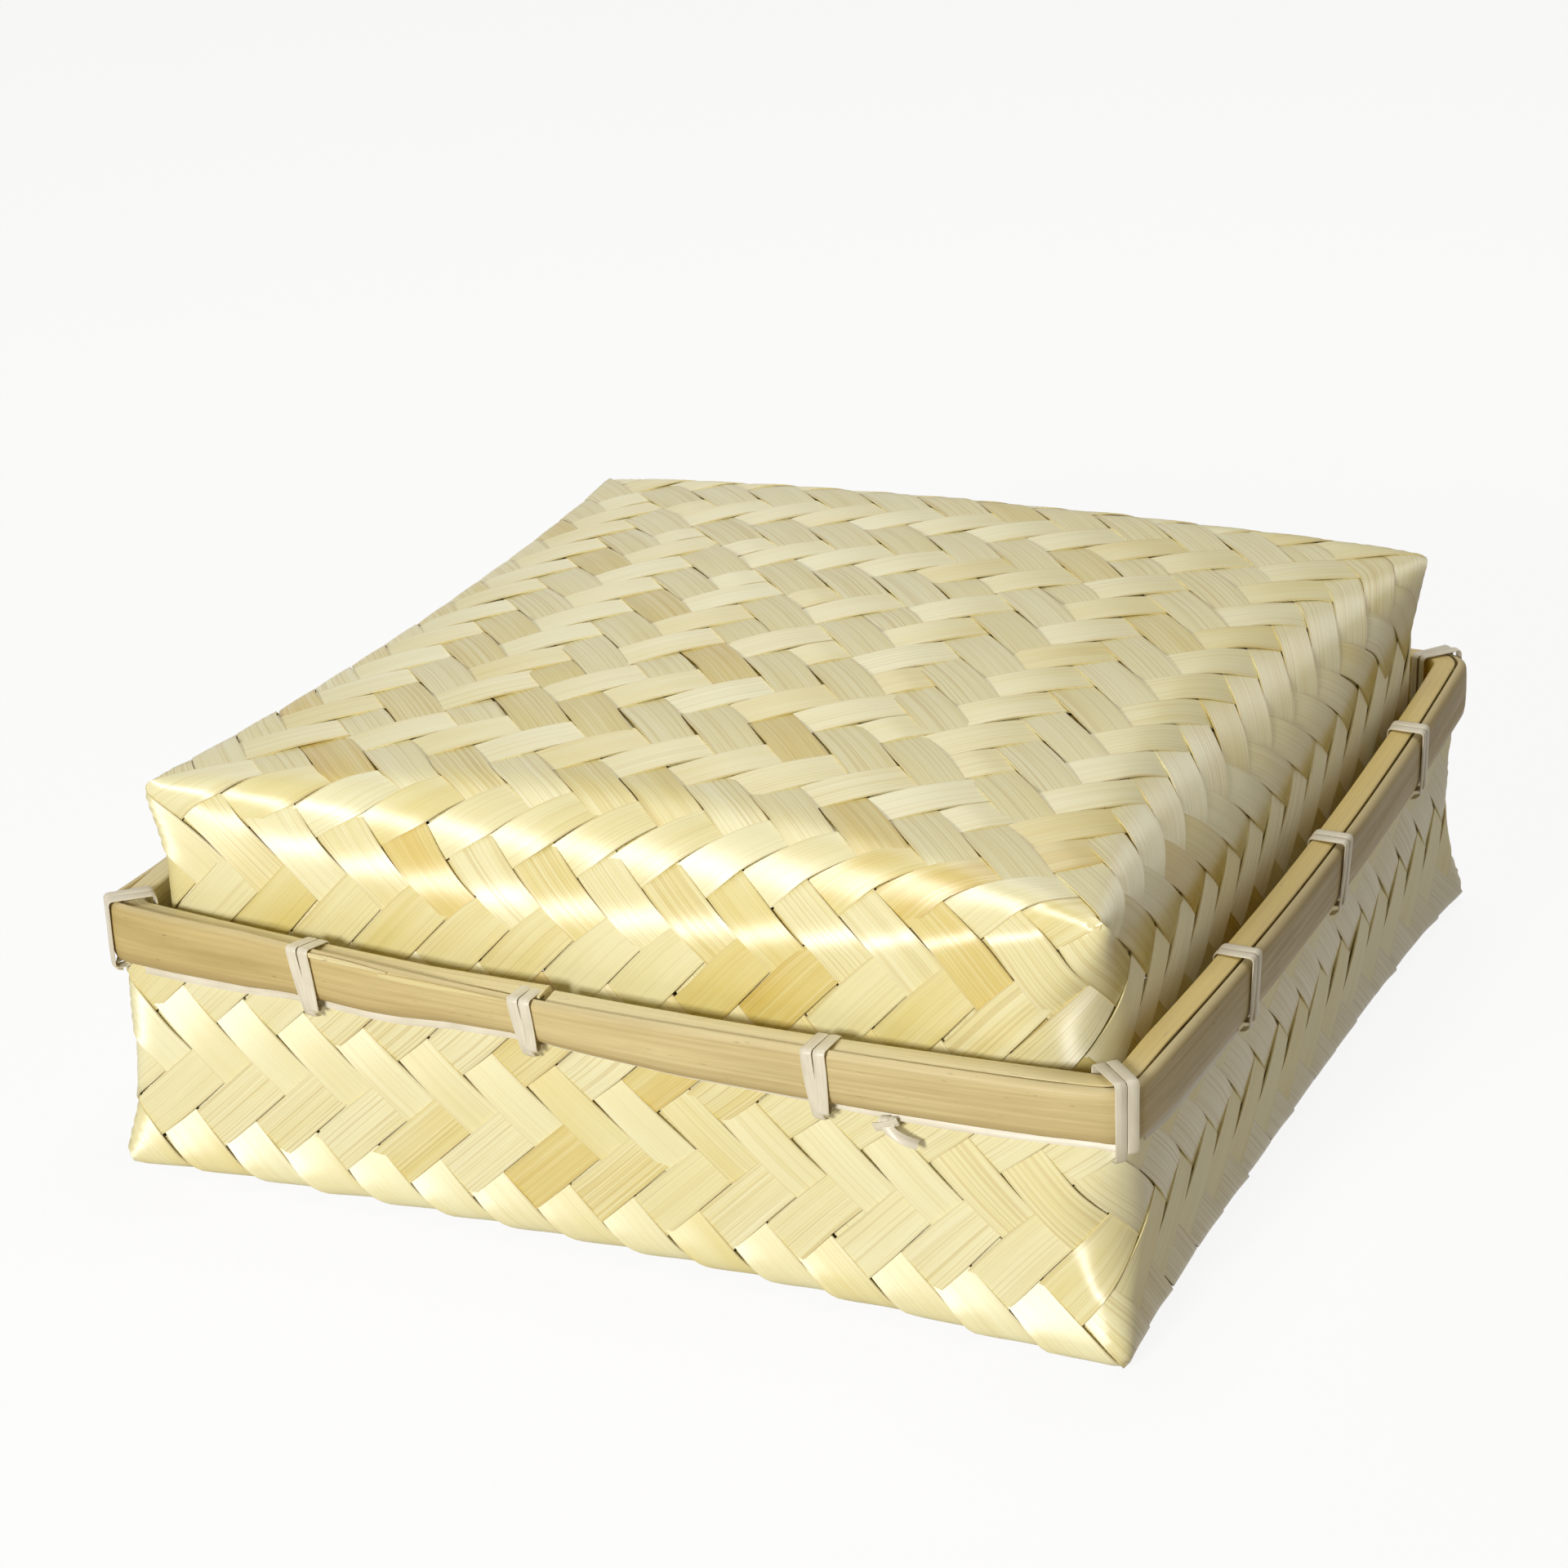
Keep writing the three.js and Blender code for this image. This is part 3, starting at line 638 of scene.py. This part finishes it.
# %% Tray and lid
PLAIT = {"Float": 2.0, "Lift": 0.4 * MM, "Thickness": 0.4 * MM, "Material": strip_bamboo}
SLANTS = (
    ("tray_strips_a", TRAY, False, 11, {}, (0.15, 0.5)),
    ("tray_strips_b", TRAY, True, 12, {-9.5: 0.7, -11.5: 0.5}, (0.5, 1)),
    ("lid_strips_a", LID, False, 13, {-10.5: 0.62, -11.5: 0.72, -13.5: 0.45, 1.5: 0.45},
     (0.2, 0.6)),
    ("lid_strips_b", LID, True, 14, {-2.5: 0.68, -5.5: 0.5, -10.5: 0.74, 6.5: 0.55}, (0.5, 1)))
for name, form, mirrored, seed, tones, clear in SLANTS:
    mesh = plaited_strips(name, form, mirrored, seed, tones, clear)
    body = "tray" if form is TRAY else "lid"
    grow(name, mesh, plaiting, PLAIT, body, [f"{body}_weave"])

# %% [markdown]
# The rim's laths are split bamboo too, but thick and hardly worked. The outer lath shows the cane's
# scraped outside: dull khaki, with long soft grain lines and stains. The inner lath shows the
# yellow wood of the cane on its top edge. Both get painted shade towards the lower edge and a
# painted highlight along the upper arris, and each cane changes its colour along its length. The
# patterns run along the lath, so they read how far along the lath a point is, and where it lies in
# the lath's section, from the mesh.

# %% Lath bamboo, outer and inner
LINE_LENGTH, STAIN = 90 * MM, (38 * MM, 7 * MM, 5 * MM)
SPECK = (3.5 * MM, 0.9 * MM, 0.9 * MM)


def swept_place(tree):
    along = add(tree, "ShaderNodeAttribute", attribute_name="along").outputs["Fac"]
    cut = add(tree, "ShaderNodeAttribute", attribute_name="cut").outputs["Vector"]
    return along, add(tree, "ShaderNodeSeparateXYZ", {0: cut}).outputs


def lath_bamboo(name, colours, places, place_share, line_colour, line_spacing, line_share,
                low_shade_share, roughness):
    material, tree, shader = new_material(name)
    along, cut = swept_place(tree)
    place = add(tree, "ShaderNodeCombineXYZ", {"X": along, "Y": cut["X"], "Z": cut["Y"]})
    lines = grain(tree, place, (LINE_LENGTH, line_spacing, line_spacing), 4, 0.6)
    stain_colour = add(tree, "ShaderNodeValToRGB", {"Fac": grain(tree, place, STAIN, 3)})
    set_ramp(stain_colour, colours)
    place_colour = add(tree, "ShaderNodeValToRGB", {"Fac": along})
    set_ramp(place_colour, places)
    colour = add(tree, "ShaderNodeMix", {
        0: place_share, 6: stain_colour, 7: place_colour}, data_type="RGBA").outputs[2]
    colour = tinted(tree, colour, line_colour, lines, 0.4, 0.7, line_share)
    colour = tinted(tree, colour, "#6E5430", grain(tree, place, SPECK, 1), 0.72, 0.8, 0.45)
    # Painted shade: the lower part of the lath's section is mixed towards #A48B58.
    low = add(tree, "ShaderNodeMapRange", {
        "Value": cut["X"], "From Min": -7.4 * MM, "From Max": -2.5 * MM,
        "To Min": low_shade_share, "To Max": 0}, interpolation_type="SMOOTHSTEP")
    colour = add(tree, "ShaderNodeMix", {
        0: low, 6: colour, 7: linear("#A48B58")}, data_type="RGBA").outputs[2]
    # Painted highlight: the upper arris is lightened towards #EBDFB4, where it catches the light.
    colour = tinted(tree, colour, "#EBDFB4", cut["X"], 6.5 * MM, 7.4 * MM, 0.4)
    gloss = add(tree, "ShaderNodeMapRange", {
        "Value": lines, "From Min": 0.3, "From Max": 0.7,
        "To Min": roughness - 0.07, "To Max": roughness + 0.09})
    relief = add(tree, "ShaderNodeBump", {
        "Height": lines, "Strength": 0.45, "Distance": 0.15 * MM})
    connect(tree, shader, {"Base Color": colour, "Roughness": gloss, "Normal": relief,
                           "Specular IOR Level": 0.35})
    return material


outer_bamboo = lath_bamboo(
    "scraped_bamboo_lath",
    [(0.3, "#AF9960"), (0.45, "#CBB67C"), (0.6, "#D8C58D"), (0.72, "#BCA568")],
    [(0.2, "#C4AD70"), (0.4, "#C9B377"), (0.52, "#E2D2A2"), (0.6, "#E0CF9E"), (0.66, "#9A8A5C")],
    0.5, "#A88F5A", 1.3 * MM, 0.45, 0.6, 0.5)
inner_bamboo = lath_bamboo(
    "yellow_bamboo_lath",
    [(0.3, "#DAC787"), (0.45, "#E8DBA4"), (0.6, "#EDE2B0"), (0.72, "#DAC884")],
    [(0.11, "#EBE1B2"), (0.14, "#D8B534"), (0.4, "#D8B534"), (0.6, "#E6D9A2")],
    0.9, "#B99A50", 0.7 * MM, 0.55, 0.2, 0.46)
print("lath materials:", outer_bamboo.name, inner_bamboo.name)

# %% [markdown]
# The lashing is a flat ribbon of split rattan or plastic strapping, off-white and slightly glossy,
# with faint lines along it. It reads its place along and across the ribbon from the mesh as well.

# %% Ribbon
RIBBON_LINE, SMUDGE = (25 * MM, 0.6 * MM, 1), (9 * MM, 4 * MM, 1)

ribbon_strap, tree, shader = new_material("pale_strapping_ribbon")
along, cut = swept_place(tree)
place = add(tree, "ShaderNodeCombineXYZ", {"X": along, "Y": cut["X"]})
lines = grain(tree, place, RIBBON_LINE, 3)
colour = add(tree, "ShaderNodeValToRGB", {"Fac": grain(tree, place, SMUDGE, 2)})
set_ramp(colour, [(0.3, "#DAD2BB"), (0.5, "#E4DDC8"), (0.7, "#EBE5D2")])
colour = tinted(tree, colour, "#B5A98F", lines, 0.45, 0.75, 0.35)
relief = add(tree, "ShaderNodeBump", {"Height": lines, "Strength": 0.3, "Distance": 0.08 * MM})
connect(tree, shader, {"Base Color": colour, "Normal": relief, "Roughness": 0.4})
print("ribbon material:", ribbon_strap.name)

# %% [markdown]
# Laths and ribbon are all one kind of shape: a section carried along a path. One tree does it for
# all of them. Its input mesh holds the section as a closed loop and the paths as chains of points,
# each point with the direction in which the section's first axis lies. The tree parts the two,
# turns them into curves, sweeps the section, slants the cut ends, narrows the section where the
# path says so, and adds a little hand-made unevenness.

# %% The sweeping tree
sweeping, given, stored = new_tree("sweeping", {
    "Unevenness": "Float", "Wave": "Float", "Material": "Material"}, {
    "section": "BOOLEAN", "across": "FLOAT_VECTOR", "cut": "FLOAT_VECTOR",
    "forward": "FLOAT_VECTOR", "slant": "FLOAT", "taper": "FLOAT"})
parted = add(sweeping, "GeometryNodeSeparateGeometry", {
    "Geometry": given["Geometry"], "Selection": stored["section"]}, domain="POINT")
section, paths = parted.outputs["Selection"], parted.outputs["Inverted"]
for layer in ("along", "across", "forward", "slant", "taper"):
    section = add(sweeping, "GeometryNodeRemoveAttribute", {"Geometry": section, "Name": layer})
paths = add(sweeping, "GeometryNodeRemoveAttribute", {"Geometry": paths, "Name": "cut"})
section, paths = (add(sweeping, "GeometryNodeMeshToCurve", {"Mesh": mesh})
                  for mesh in (section, paths))
facing = add(sweeping, "GeometryNodeSetCurveNormal", {
    "Curve": paths, "Normal": stored["across"]}, mode="FREE")
swept = add(sweeping, "GeometryNodeCurveToMesh", {
    "Curve": facing, "Profile Curve": section, "Fill Caps": True})
depth = add(sweeping, "ShaderNodeSeparateXYZ", {0: stored["cut"]})
moves = []
for amount, axis, direction in (("slant", "Y", "forward"), ("taper", "X", "across")):
    amount = add(sweeping, "ShaderNodeMath", {
        0: stored[amount], 1: depth.outputs[axis]}, operation="MULTIPLY")
    moves.append(add(sweeping, "ShaderNodeVectorMath", {
        0: stored[direction], "Scale": amount}, operation="SCALE"))
shift = add(sweeping, "ShaderNodeVectorMath", {0: moves[0], 1: moves[1]}, operation="SUBTRACT")
slanted = add(sweeping, "GeometryNodeSetPosition", {"Geometry": swept, "Offset": shift})
position = add(sweeping, "GeometryNodeInputPosition")
finer = add(sweeping, "ShaderNodeMath", {0: 1.0, 1: given["Wave"]}, operation="DIVIDE")
noise = add(sweeping, "ShaderNodeTexNoise", {"Vector": position, "Scale": finer, "Detail": 1.0})
centred = add(sweeping, "ShaderNodeVectorMath", {
    0: noise.outputs["Color"], 1: (0.5, 0.5, 0.5)}, operation="SUBTRACT")
wobble = add(sweeping, "ShaderNodeVectorMath", {
    0: centred, "Scale": given["Unevenness"]}, operation="SCALE")
uneven = add(sweeping, "GeometryNodeSetPosition", {"Geometry": slanted, "Offset": wobble})
end_tree(sweeping, uneven, 50, given["Material"])

# %% [markdown]
# The tree's input is written here: first the section's loop, in its own two axes, then each path
# with its points, the direction of the section's first axis, the slant of its ends and how much of
# its width it loses at each point. All of it is on the tray, so the paths settle with the tray.
# The paths' lengths are counted on with a gap, so that no two paths have the same grain. Then the
# tree is run, with the size of its unevenness and the length of its waves in millimetres.

# %% Section and paths as one mesh
PATH_GAP, SIDE_STEP, UPRIGHT = 900, 0.1, (0, 0, 1)


def sweep(name, section, paths, unevenness, wave, material, nodes):
    count = len(section)
    loop, blank = np.column_stack([section, np.zeros(count)]), np.zeros(count)
    parts = [{"points": loop, "cut": loop, "across": np.tile(UPRIGHT, (count, 1)),
              "forward": np.tile((1, 0, 0), (count, 1)), "section": blank == 0, "along": blank,
              "slant": blank, "taper": blank}]
    edges = [(index, (index + 1) % count) for index in range(count)]
    started = 0.0
    for path in paths:
        places = np.array(path["points"], dtype=float)
        sides = np.broadcast_to(np.array(path["across"], dtype=float), places.shape)
        sides = settle(places + SIDE_STEP * sides) - settle(places - SIDE_STEP * sides)
        places = settle(places)
        steps = np.linalg.norm(np.diff(places, axis=0), axis=1)
        tangents = unit(np.gradient(places, axis=0))
        sides = unit(sides - tangents * np.sum(sides * tangents, axis=1, keepdims=True))
        slants = np.zeros(len(places))
        slants[0], slants[-1] = path.get("slants", (0, 0))
        parts.append({
            "points": places, "cut": np.zeros(places.shape), "across": sides, "forward": tangents,
            "section": np.zeros(len(places), bool), "slant": slants,
            "along": started + np.append(0, np.cumsum(steps)),
            "taper": np.broadcast_to(path.get("taper", 0.0), len(places))})
        edges += [(count + index, count + index + 1) for index in range(len(steps))]
        count += len(places)
        started += steps.sum() + PATH_GAP
    layers = {key: np.concatenate([part[key] for part in parts]) for key in parts[0]}
    mesh = bpy.data.meshes.new(name + "_paths")
    mesh.from_pydata(layers.pop("points") * MM, edges, [])
    for layer, values in layers.items():
        store(mesh, layer, values * MM if layer in ("cut", "along") else values)
    grow(name, mesh, sweeping, {
        "Unevenness": unevenness * MM, "Wave": wave * MM, "Material": material},
        "tray", nodes)


# %% [markdown]
# Each lath goes once round the rim, with round bends at the corners. The outer lath is thin, with a
# slightly bulging face and a scraped arris, and its ends meet on a slant at the back. On the front
# both are narrower than elsewhere, and the outer lies at a slight slant and stands off the plait,
# which leaves a dark slit between the two, as measured in the photograph. The inner lath is thicker
# and has a lip that covers the plait's cut edge. Its ends meet on the front, just beside a lashing,
# where one stands a little higher than the other, as in the photograph.

# %% The way round the rim
SIDE_NAMES = ("front", "right", "back", "left")
FRONT_PLACES = (-125, -85, -75, -66, -54, -46, -33, -15, -7, 5, 15, 22, 42, 71, 92, 117, 125)
FRONT_TOP = (0.6, 1.8, 1.5, 1.3, 1.1, 0.9, 0.5, 0.2, 0.2, 0.2, 0.2, 0.2, 0.2, 0, -0.2, -0.4, -0.4)
FRONT_BOTTOM = (0.8, 2.6, 3.6, 3.7, 3.2, 3.5, 5, 5.7, 4.4, 3.6, 3.1, 2.6, 2.3, 1.9, 1.8, 1.9, 1)
FRONT_ALL = np.ones(len(FRONT_PLACES))


def turned(points, side):
    cosine, sine = ((1, 0), (0, 1), (-1, 0), (0, -1))[side]
    return [(x * cosine - y * sine, x * sine + y * cosine) for x, y in points]


def rim_path(half, radius, start_side, start, step=4.0):
    straight = half - radius
    count = int(2 * straight / step) + 1
    quarter = [(along, -half) for along in np.linspace(-straight, straight, count)]
    quarter += [(straight + radius * math.sin(turn), -straight - radius * math.cos(turn))
                for turn in np.linspace(0, np.pi / 2, 9)[1:-1]]
    points = np.concatenate([turned(quarter, side) for side in range(4)])
    last = (points[:, 1] < -half + 0.01) & (points[:, 0] <= start + 1)
    ends = [(start, -half)]
    return np.array(turned(np.concatenate([ends, points[~last], points[last], ends]), start_side))


def front_change(points, changes):
    x, y = np.asarray(points, dtype=float).T
    return np.interp(x, FRONT_PLACES, changes) * np.clip((-y - 100) / 20, 0, 1)


print("the front's laths are measured at", len(FRONT_PLACES), "places")

# %% The two laths
STAND_OFF, STAND_OFF_END, STAND_OFF_FADE = 0.7, 118, 12
OUTER_HALF, OUTER_BEND, OUTER_LEVEL, OUTER_WIDTH = 123.9, 6.4, 59.8, 14.8
INNER_HALF, INNER_BEND, INNER_LEVEL, INNER_WIDTH = 118.8, 4.4, 60.2, 15.6
INNER_START, INNER_DROP, END_RISE, END_POINTS = -8.5, 1.1, 1.1, 8
OUTER_SECTION = [(-6.8, -1.1), (7.2, -1.1), (7.4, -0.9), (7.4, -0.5), (7.15, 0.2), (6.6, 0.85),
                 (5.8, 1.1), (4, 1.2), (0, 1.27), (-4, 1.15), (-6, 0.85), (-6.9, 0.45),
                 (-7.3, -0.1), (-7.3, -0.8)]
INNER_SECTION = [(-7.8, -1.3), (-7.5, -1.6), (7.1, -1.6), (7.6, -1.4), (7.8, -0.9), (7.8, 3.4),
                 (7.7, 3.65), (7.55, 3.7), (7.3, 3.7), (7.1, 1.6), (-7.5, 1.6), (-7.8, 1.3)]

path = rim_path(OUTER_HALF, OUTER_BEND, 2, 0)
top, bottom = front_change(path, FRONT_TOP), front_change(path, FRONT_BOTTOM)
height = OUTER_LEVEL + (top + bottom) / 2
path[-1, 0] += 0.5
fade = np.clip((STAND_OFF_END - np.abs(path[:, 0])) / STAND_OFF_FADE, 0, 1)
path[:, 1] -= STAND_OFF * front_change(path, FRONT_ALL) * fade
sweep("outer_lath", OUTER_SECTION, [
    {"points": np.column_stack([path, height]), "across": UPRIGHT, "slants": (5, 5),
     "taper": (bottom - top) / OUTER_WIDTH}],
    0.5, 70, outer_bamboo, ["rim_outer_lath"])

path = rim_path(INNER_HALF, INNER_BEND, 0, INNER_START)
path[-1, 0] -= 0.3
left_to_go = np.arange(len(path))[::-1]
drop = INNER_DROP * front_change(path, FRONT_ALL)
height = INNER_LEVEL - drop / 2 + END_RISE * np.clip(1 - left_to_go / END_POINTS, 0, 1)
sweep("inner_lath", INNER_SECTION, [
    {"points": np.column_stack([path, height]), "across": UPRIGHT, "taper": drop / INNER_WIDTH}],
    0.5, 90, inner_bamboo, ["rim_inner_lath"])

# %% [markdown]
# Between the first two lashings the outer lath's upper arris has split: first a splinter that
# stands off a little, then a sliver that shows the yellow wood under the scraped skin. Both are
# swept like the laths, thin at their ends.

# %% The split arris
SLIVERS, SLIVER_OUT, SLIVER_LEVEL = ((-67, -46, 0.15), (-48, -16, 1.0)), 125.1, 66.8
SLIVER_SECTION = [(-0.7, -0.25), (0.7, -0.25), (0.7, 0.1), (0.35, 0.27), (-0.35, 0.27),
                  (-0.7, 0.1)]
part = np.linspace(0, 1, 24)
slivers = []
for start, end, low in SLIVERS:
    x = start + (end - start) * part
    y = np.full(len(x), -SLIVER_OUT - STAND_OFF)
    z = SLIVER_LEVEL + front_change(np.column_stack([x, y]), FRONT_TOP) - low * (1 - part)
    slivers.append({"points": np.column_stack([x, y, z]), "across": UPRIGHT,
                    "taper": 0.9 - 0.9 * np.sin(np.pi * (0.12 + 0.88 * part) ** 0.7)})
sweep("outer_lath_slivers", SLIVER_SECTION, slivers, 0.2, 12, inner_bamboo,
      ["rim_outer_lath"])

# %% [markdown]
# The ribbon is wound twice round both laths at sixteen places: three on each side and one at each
# corner. A turn climbs the outer lath, crosses the top, goes down inside and comes back through the
# plait under the laths. On a side the two turns lie side by side and close up towards the bottom,
# where they go in through one gap. At a corner they sit on either side of the bend, but at the back
# right corner further round on the back.

# %% A lashing's path
RIBBON_SECTION = [(-1.3, -0.1), (-1.05, -0.2), (1.05, -0.2), (1.3, -0.1), (1.3, 0.1),
                  (1.05, 0.2), (0, 0.25), (-1.05, 0.2), (-1.3, 0.1)]
LEVELS, BEND, CLEAR = (51.8, 68.5, 68.5), 1.1, 3
arc = np.linspace(0, np.pi / 2, 6)
ARC_SINE, ARC_COSINE = BEND * np.sin(arc), BEND * np.cos(arc)


def lashing(outers, inners, levels=LEVELS, lean=0.0, pinch=0.0):
    low, high, high_inside = levels
    path, across = [], []
    for turn, (outer, inner) in enumerate(np.stack([outers, inners], 1)):
        span = np.linalg.norm(inner - outer)
        inwards = (inner - outer) / span
        rightwards = np.array([inwards[1], -inwards[0]])
        if turn == 0:
            closing, proud = pinch, 0
            loop = [(2.2, low - 2.0), (1.0, low - 1.6), (0.15, low - 0.6)]
        else:
            closing, proud = -pinch, 0.55 * pinch
            loop = list(zip(BEND - ARC_SINE, low + BEND - ARC_COSINE))
        loop += [(0, z) for z in np.linspace(low + CLEAR, high - CLEAR, 6)]
        loop += zip(BEND - ARC_COSINE, high - BEND + ARC_SINE)
        loop += zip(span - BEND + ARC_SINE, high_inside - BEND + ARC_COSINE)
        loop += [(span, z) for z in np.linspace(high_inside - CLEAR, low + CLEAR, 4)]
        loop += zip(span - BEND + ARC_COSINE, low + BEND - ARC_SINE)
        if turn == len(outers) - 1:
            loop.append((4, low))
        for out, z in loop:
            drop = (high - z) / (high - low) if out < span / 2 else 0
            shift = lean * drop + closing * drop ** 2
            out = out - proud * drop ** 2
            path.append((*(outer + inwards * out + rightwards * shift), z))
            across.append((*-rightwards, 0))
    return {"points": path, "across": across}


print("a lashing has", len(lashing([(0, 0), (3, 0)], [(0, 9), (3, 9)])["points"]), "points")

# %% The lashings
LASHINGS = ((-69, -13, 56), (-56, 8, 74), (-66, -6, 60), (-60, 4, 66))
OUTSIDE, INSIDE, PINCH, FRONT_LEANS = 125.62, 116.6, 0.7, (1.9, 1.4, 0.9)
CORNER_CENTRE, CORNER_RADIUS, CORNER_INSIDE = 117.5, 8.0, 114.7
CORNER_TURNS, CORNER_TWIST = ((-9.5, -1.4), (9.5, 1.4)), (0, 0, 25, 0)
FRONT_LOW, FRONT_HIGH, FRONT_HIGH_INSIDE = 50.6, 67.7, 67.4

random = np.random.default_rng(5)
windings, names = [], []
for side, name in enumerate(SIDE_NAMES):
    outers, inners = [], []
    for angle, inside in CORNER_TURNS:
        slope = math.radians(angle + CORNER_TWIST[side] - 135)
        outers.append((-CORNER_CENTRE + CORNER_RADIUS * math.cos(slope),
                       -CORNER_CENTRE + CORNER_RADIUS * math.sin(slope)))
        inside = (inside + CORNER_TWIST[side] / 8) * 0.707
        inners.append((-CORNER_INSIDE + inside, max(-INSIDE, -CORNER_INSIDE - inside)))
    windings.append(lashing(turned(outers, side), turned(inners, side)))
    names.append(f"lashing_{name}_corner")
    for index, middle in enumerate(LASHINGS[side]):
        lean, spread = random.uniform(-0.8, 2.0), random.uniform(1.42, 1.52)
        out, levels = OUTSIDE, LEVELS
        if side == 0:
            lean, out = FRONT_LEANS[index], OUTSIDE + STAND_OFF
            levels = (FRONT_LOW + 0.85 * np.interp(middle, FRONT_PLACES, FRONT_BOTTOM),
                      FRONT_HIGH + max(-0.4, np.interp(middle, FRONT_PLACES, FRONT_TOP)),
                      FRONT_HIGH_INSIDE)
        outers = [(middle + sign * spread, -out) for sign in (-1, 1)]
        inners = [(middle + sign * spread * 0.95, -INSIDE) for sign in (-1, 1)]
        windings.append(lashing(turned(outers, side), turned(inners, side), levels, lean, PINCH))
        names.append(f"lashing_{name}_{index + 1}")
sweep("rim_lashings", RIBBON_SECTION, windings, 0.2, 9, ribbon_strap, names)

# %% [markdown]
# Between the lashings the ribbon runs along the wall, half hidden under the outer lath. It sags and
# rolls a little, so each run is its own path with its lower edge leaning out.

# %% The runs of ribbon under the lath
FRONT_RUNS = ((0, 0.2, 0.2), (0, 0.2, 0.25), (1.2, 0, 0.1), (0.8, 0.8, 0.5))
RIGHT_RISE, RIGHT_HANG = 2.2, 0.2
RUN_START, RUN_END, RUN_OUT, RUN_LEVEL = -116, 124, 123.0, 51.3
RUN_SECTION = [(u * 0.92, v) for u, v in RIBBON_SECTION]
part = np.linspace(0, 1, 15)
runs, names = [], []
for side, name in enumerate(SIDE_NAMES):
    stops = [RUN_START, *LASHINGS[side], RUN_END]
    outward = turned([(0, -1)], side)[0]
    for index, (start, end) in enumerate(zip(stops, stops[1:])):
        x = start + 2 + (end - start - 4.5) * part
        rise, hang, roll = (random.uniform(*most) for most in ((-0.2, 0.5), (0.4, 1.2), (0.1, 0.4)))
        if side == 0:
            rise, hang, roll = FRONT_RUNS[index]
        if side == 1 and index > 0:
            rise, hang = RIGHT_RISE, RIGHT_HANG
        lean = roll + 0.12 * np.sin(part * 5 + random.uniform(0, 6))
        points = turned([(along, -RUN_OUT) for along in x], side)
        z = RUN_LEVEL + front_change(points, FRONT_BOTTOM) + rise - hang * np.sin(part * np.pi)
        runs.append({"points": np.column_stack([points, z]),
                     "across": [(outward[0] * tilt, outward[1] * tilt, -1) for tilt in lean]})
        names.append(f"ribbon_run_{name}_{index + 1}")
sweep("ribbon_runs", RUN_SECTION, runs, 0.25, 14, ribbon_strap, names)

# %% [markdown]
# The ribbon's two ends are tied low on the front, right of the third lashing: a short wrap round
# the run, with one end cut off and hanging down to the right.

# %% The knot
KNOT_SECTION = [(u * 0.85, v * 1.3) for u, v in RIBBON_SECTION]
wrap = [(70.2 + 1.6 * t, -123.9 - 1.15 * math.cos(2 * math.pi * t),
         51.1 + 2.0 * math.sin(2 * math.pi * t)) for t in np.linspace(0, 1.35, 28)]
part = np.linspace(0, 1, 10)
tail = [(70.4 + 7.6 * t, -124.9 - 0.8 * math.sin(math.pi * t), 51.9 - 4.2 * t ** 0.8)
        for t in part]
loop = [(68.2 + 5.4 * t, -124.5 - 0.7 * math.sin(math.pi * t), 50.5 + 2.2 * t) for t in part]
sweep("ribbon_tie", KNOT_SECTION, [
    {"points": wrap, "across": (1, 0, 0.15)},
    {"points": tail, "across": [(0.5, 0.35 + t, 0.85) for t in part]},
    {"points": loop, "across": (0, -0.25, 1)}],
    0.15, 5, ribbon_strap, ["ribbon_knot"])
